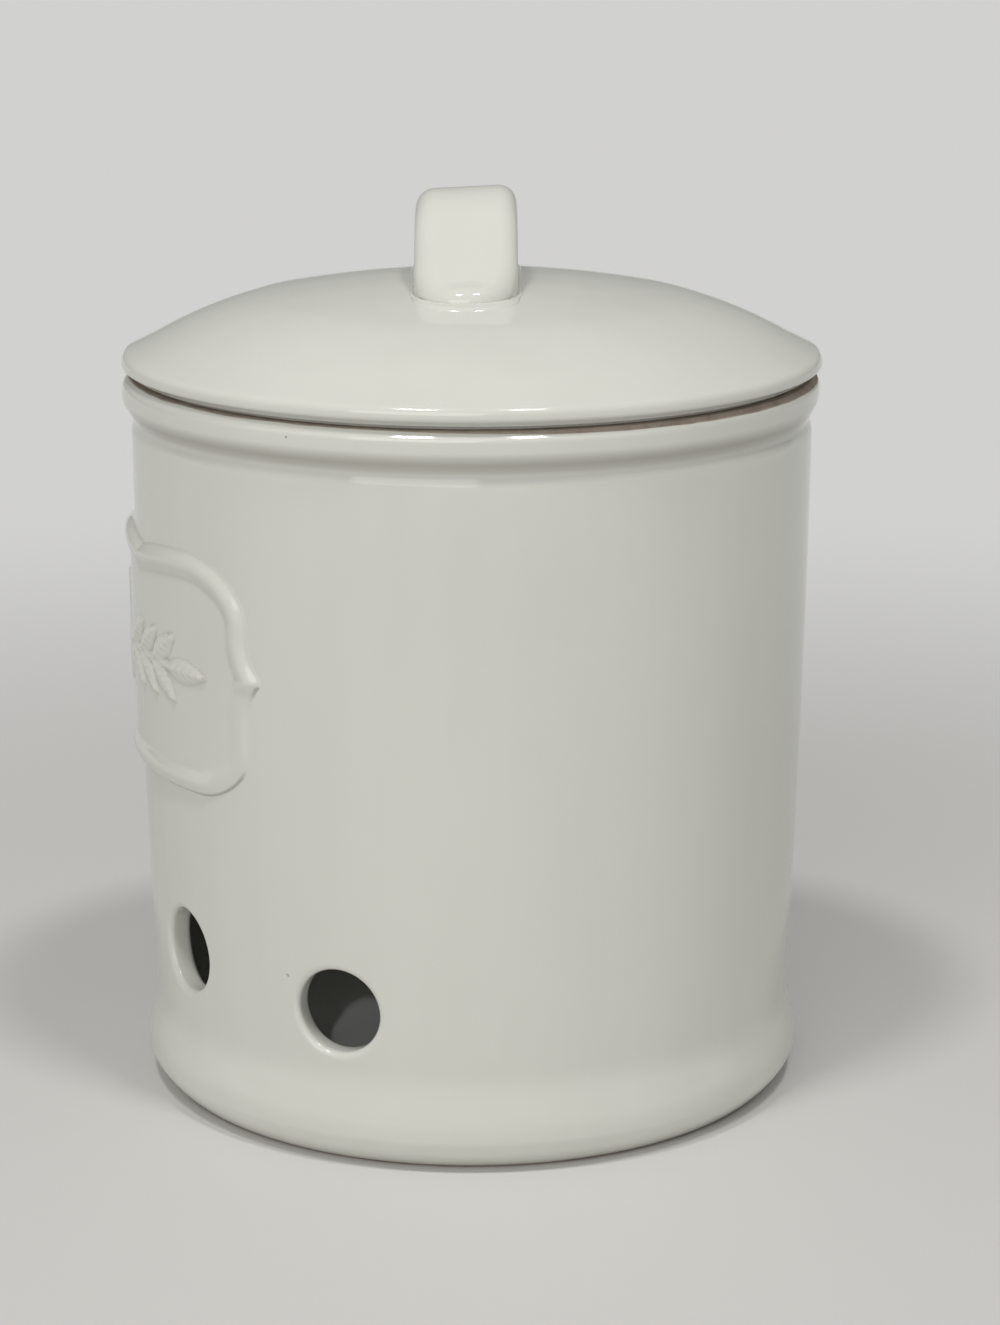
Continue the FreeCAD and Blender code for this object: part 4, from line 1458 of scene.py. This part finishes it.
@dataclass(frozen=True)
class Lid:
    """The domed lid. Rises are above the jar's rim."""

    rim: float = 149.3
    crown: float = 19.7
    dome_bow: float = 240.0
    dome_half_width: float = 44.0
    skirt_bow: float = 90.0
    skirt_radius: float = 65.8
    skirt_rise: float = 7.2
    skirt_round: float = 18.0
    radius: float = 71.85
    edge_top: float = 4.2
    edge_low: float = 2.2
    edge_top_round: float = 2.0
    edge_low_round: float = 0.7
    lip_radius: float = 70.3
    lip_top: float = 1.25
    lip_low: float = 0.90
    lip_top_round: float = 0.25
    lip_low_round: float = 0.15
    lip_inset: float = 0.3
    lip_step: float = 0.35
    seat_radius: float = 68.4
    seat_round: float = 0.3
    wall: float = 4.8
    hollow_rise: float = 3.7
    hollow_round: float = 6.0
    collar_inner: float = 60.0
    collar_outer: float = 63.8
    collar_depth: float = 7.2
    collar_round: float = 1.4
    collar_root: float = 0.4
    spacing: float = 2.2
    turn: float = 6.0
    columns: int = 288
    waves: tuple[Wave, ...] = (Wave(0.07, 2, 1.1), Wave(0.03, 4))
    wave_radii: Span = (64.5, 70.0)
    bare_rise: float = 0.15
    bare_inset: float = 0.8

    def path(self) -> np.ndarray:
        """Path of the whole lid, from the middle of its hollow round to the crown."""
        bend = self.dome_half_width
        shoulder = self.crown - (self.dome_bow - math.sqrt(self.dome_bow**2 - bend**2))
        depth = -self.collar_depth
        corners = [
            Corner(0.0, self.crown - self.wall, 0.0, -(self.dome_bow - self.wall)),
            Corner(bend, shoulder - self.wall),
            Corner(self.collar_inner, self.hollow_rise, self.hollow_round),
            Corner(self.collar_inner, depth, self.collar_round),
            Corner(self.collar_outer, depth, self.collar_round),
            Corner(self.collar_outer, 0.0, self.collar_root),
            Corner(self.seat_radius, 0.0, self.seat_round),
            Corner(
                self.seat_radius + self.lip_inset, self.lip_low + self.lip_step, self.seat_round,
            ),
            Corner(self.lip_radius - self.lip_inset, self.lip_low, self.lip_low_round),
            Corner(self.lip_radius, self.lip_top, self.lip_top_round),
            Corner(self.radius, self.edge_low, self.edge_low_round),
            Corner(self.radius, self.edge_top, self.edge_top_round),
            Corner(self.skirt_radius, self.skirt_rise, self.skirt_round, self.skirt_bow),
            Corner(bend, shoulder, 0.0, self.dome_bow),
            Corner(0.0, self.crown),
        ]
        return outline(corners, self.spacing, self.turn) + [0.0, self.rim]

    def surface(self, x: np.ndarray, y: np.ndarray) -> np.ndarray:
        """Height of the dome's outside over a place, from the same path.

        Args:
            x: Distances along X.
            y: Distances along Y.

        Returns:
            Heights in millimetres.
        """
        path = self.path()
        upper = path[int(np.argmax(path[:, 0])):]
        return np.interp(np.hypot(x, y), upper[::-1, 0], upper[::-1, 1])

    def settle(self, points: np.ndarray) -> np.ndarray:
        """The small unevenness of the fired lid: waves round its edge.

        Args:
            points: Points in millimetres, one a row.

        Returns:
            The moved points.
        """
        angle, radius = polar(points)
        waves = sum(wave.push(angle, points[:, 2]) for wave in self.waves)
        return pushed_out(points, waves * swell(radius, *self.wave_radii))

    def build(self, material: bpy.types.Material) -> bpy.types.Object:
        """Makes the lid, its underside and collar included.

        Args:
            material: Its finish.

        Returns:
            The piece.
        """
        grid = turned(self.path(), self.columns)
        points = self.settle(grid.reshape(-1, 3))
        below_seat = self.rim + self.bare_rise - points[:, 2]
        beyond_collar = polar(points)[1] - self.collar_outer - self.bare_inset
        return make_piece(
            "lid_domed", points, [quads(numbered(grid.shape[:2]), wrap=True)], "lid_assembly",
            material, ("lid",), np.minimum(below_seat, beyond_collar),
        )


@dataclass(frozen=True)
class Handle:
    """The solid bow-shaped handle, luted on the crown of the lid with a roll of slip.

    From the side its top is a bow with straight flanks that turn out at the heels to the
    toes, and from above its ends are half round.
    """

    lid: Lid
    half_length: float = 30.3
    half_width: float = 10.4
    flanks_meet: float = 193.4
    bow_round: float = 20.5
    flank: Corner = Corner(23.5, 173.0, 8.0)
    heel: Corner = Corner(26.3, 170.5, 4.0)
    toe: Corner = Corner(31.5, 169.5)
    profile_spacing: float = 0.5
    profile_turn: float = 2.0
    offset: float = -1.2
    edge: float = 4.0
    tip_edge: float = 3.0
    tip_span: Span = (0.25, 0.95)
    undercut: float = 0.8
    tilt: float = 0.05
    least_wall: float = 0.25
    roll_width: float = 4.4
    roll_height: float = 0.74
    side_width: float = 0.22
    side_height: float = 0.4
    roll_sunk: float = 0.03
    foot_inset: float = 0.4
    foot_outset: float = 0.1
    foot_sunk: float = 0.4
    sunk: float = 2.4
    spacing: float = 0.7
    end_columns: int = 56
    roll_rings: int = 21
    wall_rings: int = 8
    edge_rings: int = 18
    top_rings: int = 16

    @property
    def straight(self) -> float:
        """Half the length of the plan's straight sides."""
        return self.half_length - self.half_width

    def plan(self) -> tuple[np.ndarray, np.ndarray, np.ndarray]:
        """The handle seen from above: a slot shape, straight at the sides, half round at the ends.

        Returns:
            Points of the outline, their outward directions and the nearest points of the
            middle line.
        """
        steps = round(2 * self.straight / self.spacing)
        along = np.linspace(-self.straight, self.straight, steps, endpoint=False)
        turn = np.linspace(-math.pi / 2, math.pi / 2, self.end_columns, endpoint=False)
        arc = np.column_stack([np.cos(turn), np.sin(turn)])
        side = np.column_stack([np.zeros(steps), -np.ones(steps)])
        line = np.column_stack([along, np.zeros(steps)])
        end = np.tile([self.straight, 0.0], (len(turn), 1))
        normal = np.vstack([side, arc, -side, -arc])
        middle = np.vstack([line, end, -line, -end])
        return middle + self.half_width * normal, normal, middle

    def top(self, flat: np.ndarray) -> np.ndarray:
        """Height of the arched top over points of the plan, leaning a little to one side.

        Args:
            flat: Points of the plan, one a row.

        Returns:
            Heights in millimetres.
        """
        start = Corner(-self.flank.across, self.flank.up)
        peak = Corner(0.0, self.flanks_meet, self.bow_round)
        corners = [start, peak, self.flank, self.heel, self.toe]
        path = outline(corners, self.profile_spacing, self.profile_turn)
        return np.interp(np.abs(flat[:, 0]), path[:, 0], path[:, 1]) + self.tilt * flat[:, 1]

    def build(self, material: bpy.types.Material) -> bpy.types.Object:
        """Makes the handle as rings round the plan, from inside the lid over the top.

        Below, a low roll of slip lies on the dome, wider and higher at the tips than at the
        sides. With t from 1 at its outer edge to -1 at the handle it is H (1 - t^4) high
        outside its middle and H (1 - t^2) inside. The wall stands in the crease behind it,
        at the tips bowed out over it, up to the rounding, which is R (cos c - cos b) inwards
        and R (1 - sin b) down for b from c to a right angle. c is 0 where the wall is high
        enough for the whole rounding, and elsewhere it is the angle at which the rounding
        just reaches the crease. The last rings close on the middle line.

        Args:
            material: Its finish.

        Returns:
            The piece.
        """
        loop, normal, middle = self.plan()
        shift = np.array([0.0, self.offset])
        rings = []

        def dome(flat: np.ndarray) -> np.ndarray:
            """Height of the lid under points of the plan."""
            return self.lid.surface(*(flat + shift).T)

        def add(flat: np.ndarray, height: np.ndarray) -> None:
            """Adds a ring of points."""
            rings.append(np.column_stack([flat + shift, height]))

        at_tip = swell(np.abs(normal[:, 0]), *self.tip_span)
        round_off = self.edge + (self.tip_edge - self.edge) * at_tip
        roll_width = self.side_width + (1 - self.side_width) * at_tip
        roll_width = self.roll_width * roll_width[:, None]
        roll_height = self.side_height + (1 - self.side_height) * at_tip
        roll_height = self.roll_height * roll_height
        undercut = self.undercut * at_tip[:, None]
        crease = dome(loop) + self.least_wall
        drop = np.minimum(round_off, self.top(loop) - crease)
        for flat, sunk in (
            (loop + (middle - loop), self.sunk),
            (loop + (middle - loop) * 0.5, self.sunk),
            (loop + self.foot_inset * normal, self.sunk),
            (loop + (roll_width + self.foot_outset) * normal, self.foot_sunk),
        ):
            add(flat, dome(flat) - sunk)
        for t in np.cos(np.linspace(0.0, math.pi, self.roll_rings)):
            flat = loop + ((roll_width + undercut) * (1 + t) / 2 - undercut) * normal
            rise = roll_height * (1 - abs(t) ** (4 if t > 0 else 2))
            add(flat, dome(flat) - self.roll_sunk + rise)
        wall = self.top(loop) - drop - crease
        for share in np.arange(self.wall_rings) / self.wall_rings:
            add(loop - undercut * (1 - share) ** 2 * normal, crease + wall * share)
        first_bend = np.arcsin(1 - drop / round_off)
        for share in np.linspace(0.0, 1.0, self.edge_rings):
            bend = first_bend + (math.pi / 2 - first_bend) * share
            flat = loop - (round_off * (np.cos(first_bend) - np.cos(bend)))[:, None] * normal
            add(flat, self.top(flat) - round_off * (1 - np.sin(bend)))
        last = rings[-1][:, :2] - shift
        for share in np.arange(1, self.top_rings + 1) / self.top_rings:
            flat = last + (middle - last) * share
            add(flat, self.top(flat))
        index = numbered((len(rings), len(loop)))
        return make_piece(
            "handle_bow", np.vstack(rings), [quads(index, wrap=True)], "lid_assembly", material,
            ("lid_handle",), np.full(index.size, GLAZED),
        )


# ------------------------------------------------------------------------------- studio


@dataclass(frozen=True)
class Lamp:
    """A rectangular lamp that looks at the keeper: degrees, metres and watts."""

    name: str
    azimuth: float
    elevation: float
    distance: float
    width: float
    height: float
    power: float
    colour: Triple = (1.0, 0.985, 0.955)

    def build(self, target: Vector) -> None:
        """Adds the lamp. Azimuth 0 is +X, where the camera is, and 90 is +Y.

        Args:
            target: The place that it looks at.
        """
        turn = math.radians(self.azimuth)
        tilt = math.radians(self.elevation)
        flat = math.cos(tilt)
        way = Vector((math.cos(turn) * flat, math.sin(turn) * flat, math.sin(tilt)))
        data = bpy.data.lights.new(self.name, "AREA")
        data.shape = "RECTANGLE"
        data.size = self.width
        data.size_y = self.height
        data.energy = self.power
        data.color = self.colour
        lamp = place_in_scene(self.name, data)
        lamp.location = target + way * self.distance
        lamp.rotation_euler = (-way).to_track_quat("-Z", "Y").to_euler()
        lamp.visible_camera = False


@dataclass(frozen=True)
class Studio:
    """Plain pale floor, soft lamps and the camera."""

    distance: float = 0.71346
    height: float = 0.26956
    pitch: float = 14.3595
    yaw: float = 0.469
    roll: float = -0.079
    lens: float = 95.09
    sensor: float = 36.0
    floor_radius: float = 14.0
    floor_points: int = 96
    floor_colour: Colour = (0.72, 0.716, 0.703, 1.0)
    floor_roughness: float = 0.6
    mottle_noise: Span = (3.0, 3.0)
    mottle_span: Ramp = (0.3, 0.7, 0.0, 0.06)
    mottle_shade: float = 0.9
    far_colour: Colour = (0.64, 0.637, 0.628, 1.0)
    far_from: Span = (0.16, 0.60)
    world_colour: Colour = (1.0, 1.0, 0.985, 1.0)
    world_strength: float = 0.29
    lamps: tuple[Lamp, ...] = (
        Lamp("ceiling_left", -33.0, 69.0, 1.5, 0.18, 0.18, 5.1),
        Lamp("ceiling_right", 33.0, 69.0, 1.5, 0.18, 0.18, 5.1),
        Lamp("front_fill", -18.0, 25.0, 2.2, 1.6, 1.2, 13.0),
    )

    def build(self) -> None:
        """Adds the camera, the lamps, the world and the floor."""
        self.add_camera()
        low, high = (Vector(corner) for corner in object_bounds())
        for lamp in self.lamps:
            lamp.build((low + high) / 2)
        self.add_world()
        self.add_floor()
        bpy.context.scene.view_settings.view_transform = "Standard"

    def add_camera(self) -> None:
        """A camera in front of the +X side that looks a little down."""
        pitch, yaw, roll = (math.radians(angle) for angle in (self.pitch, self.yaw, self.roll))
        flat = math.cos(pitch)
        forward = Vector((-math.cos(yaw) * flat, math.sin(yaw) * flat, -math.sin(pitch)))
        level = Vector((math.sin(yaw), math.cos(yaw), 0.0))
        down = forward.cross(level)
        right = math.cos(roll) * level + math.sin(roll) * down
        up = math.sin(roll) * level - math.cos(roll) * down
        turn = Matrix((right, up, -forward)).transposed().to_4x4()
        data = bpy.data.cameras.new("camera")
        data.lens = self.lens
        data.sensor_width = self.sensor
        camera = place_in_scene("camera", data)
        camera.matrix_world = Matrix.Translation((self.distance, 0.0, self.height)) @ turn
        bpy.context.scene.camera = camera

    def add_world(self) -> None:
        """Even light from all round."""
        world = bpy.data.worlds.new("studio")
        world.use_nodes = True
        background = world.node_tree.nodes["Background"]
        background.inputs["Color"].default_value = self.world_colour
        background.inputs["Strength"].default_value = self.world_strength
        bpy.context.scene.world = world

    def add_floor(self) -> None:
        """A wide disc under the foot, matt and pale.

        Far from the keeper, where the lamps don't reach, the camera and reflections see it
        at an even tone. Near the keeper it is only lit, and holds the shadow.
        """
        rim = turned(np.array([[self.floor_radius, 0.0]]), self.floor_points)[0]
        mesh = bpy.data.meshes.new("floor")
        mesh.from_pydata(rim.tolist(), [], [list(range(len(rim)))])
        material = bpy.data.materials.new("floor_paper")
        material.use_nodes = True
        nodes = Nodes(material.node_tree)
        place = nodes.add("TexCoord").outputs["Object"]
        shade = nodes.ramp(nodes.noise(place, *self.mottle_noise), *self.mottle_span)
        darker = tuple(value * self.mottle_shade for value in self.floor_colour[:3]) + (1.0,)
        colour = nodes.mix(shade, self.floor_colour, darker)
        paper = nodes.add(
            "BsdfPrincipled", {"Base Color": colour, "Roughness": self.floor_roughness},
        )
        glow = nodes.add("Emission", {"Color": self.far_colour, "Strength": 1.0})
        path = nodes.add("LightPath").outputs
        seen = nodes.math("MAXIMUM", path["Is Camera Ray"], path["Is Glossy Ray"])
        away = nodes.add("VectorMath", {0: place}, operation="LENGTH").outputs["Value"]
        share = nodes.times(seen, nodes.ramp(away, *self.far_from))
        both = nodes.add(
            "MixShader", {0: share, 1: paper.outputs["BSDF"], 2: glow.outputs["Emission"]},
        )
        nodes.add("OutputMaterial", {"Surface": both.outputs["Shader"]})
        mesh.materials.append(material)
        place_in_scene("floor", mesh)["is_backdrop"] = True


def main() -> None:
    """Builds the keeper and the studio."""
    logging.basicConfig(level=logging.INFO, format="%(message)s")
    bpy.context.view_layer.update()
    trees = [kind().build() for kind in (GlazeTone, GlazeSkin, BareClay)]
    groups = {tree.name: tree for tree in trees}
    glaze = IvoryGlaze()
    clean_glaze = IvoryGlaze(specks=0.0)
    jar = Jar()
    lid = Lid()
    jar.build(glaze.material("jar_glaze", groups, MARKS))
    Plaque(jar).build(glaze.material("plaque_glaze", groups))
    lid.build(clean_glaze.material("lid_glaze", groups))
    Handle(lid).build(clean_glaze.material("handle_glaze", groups))
    Studio().build()


if __name__ == "__main__":
    main()
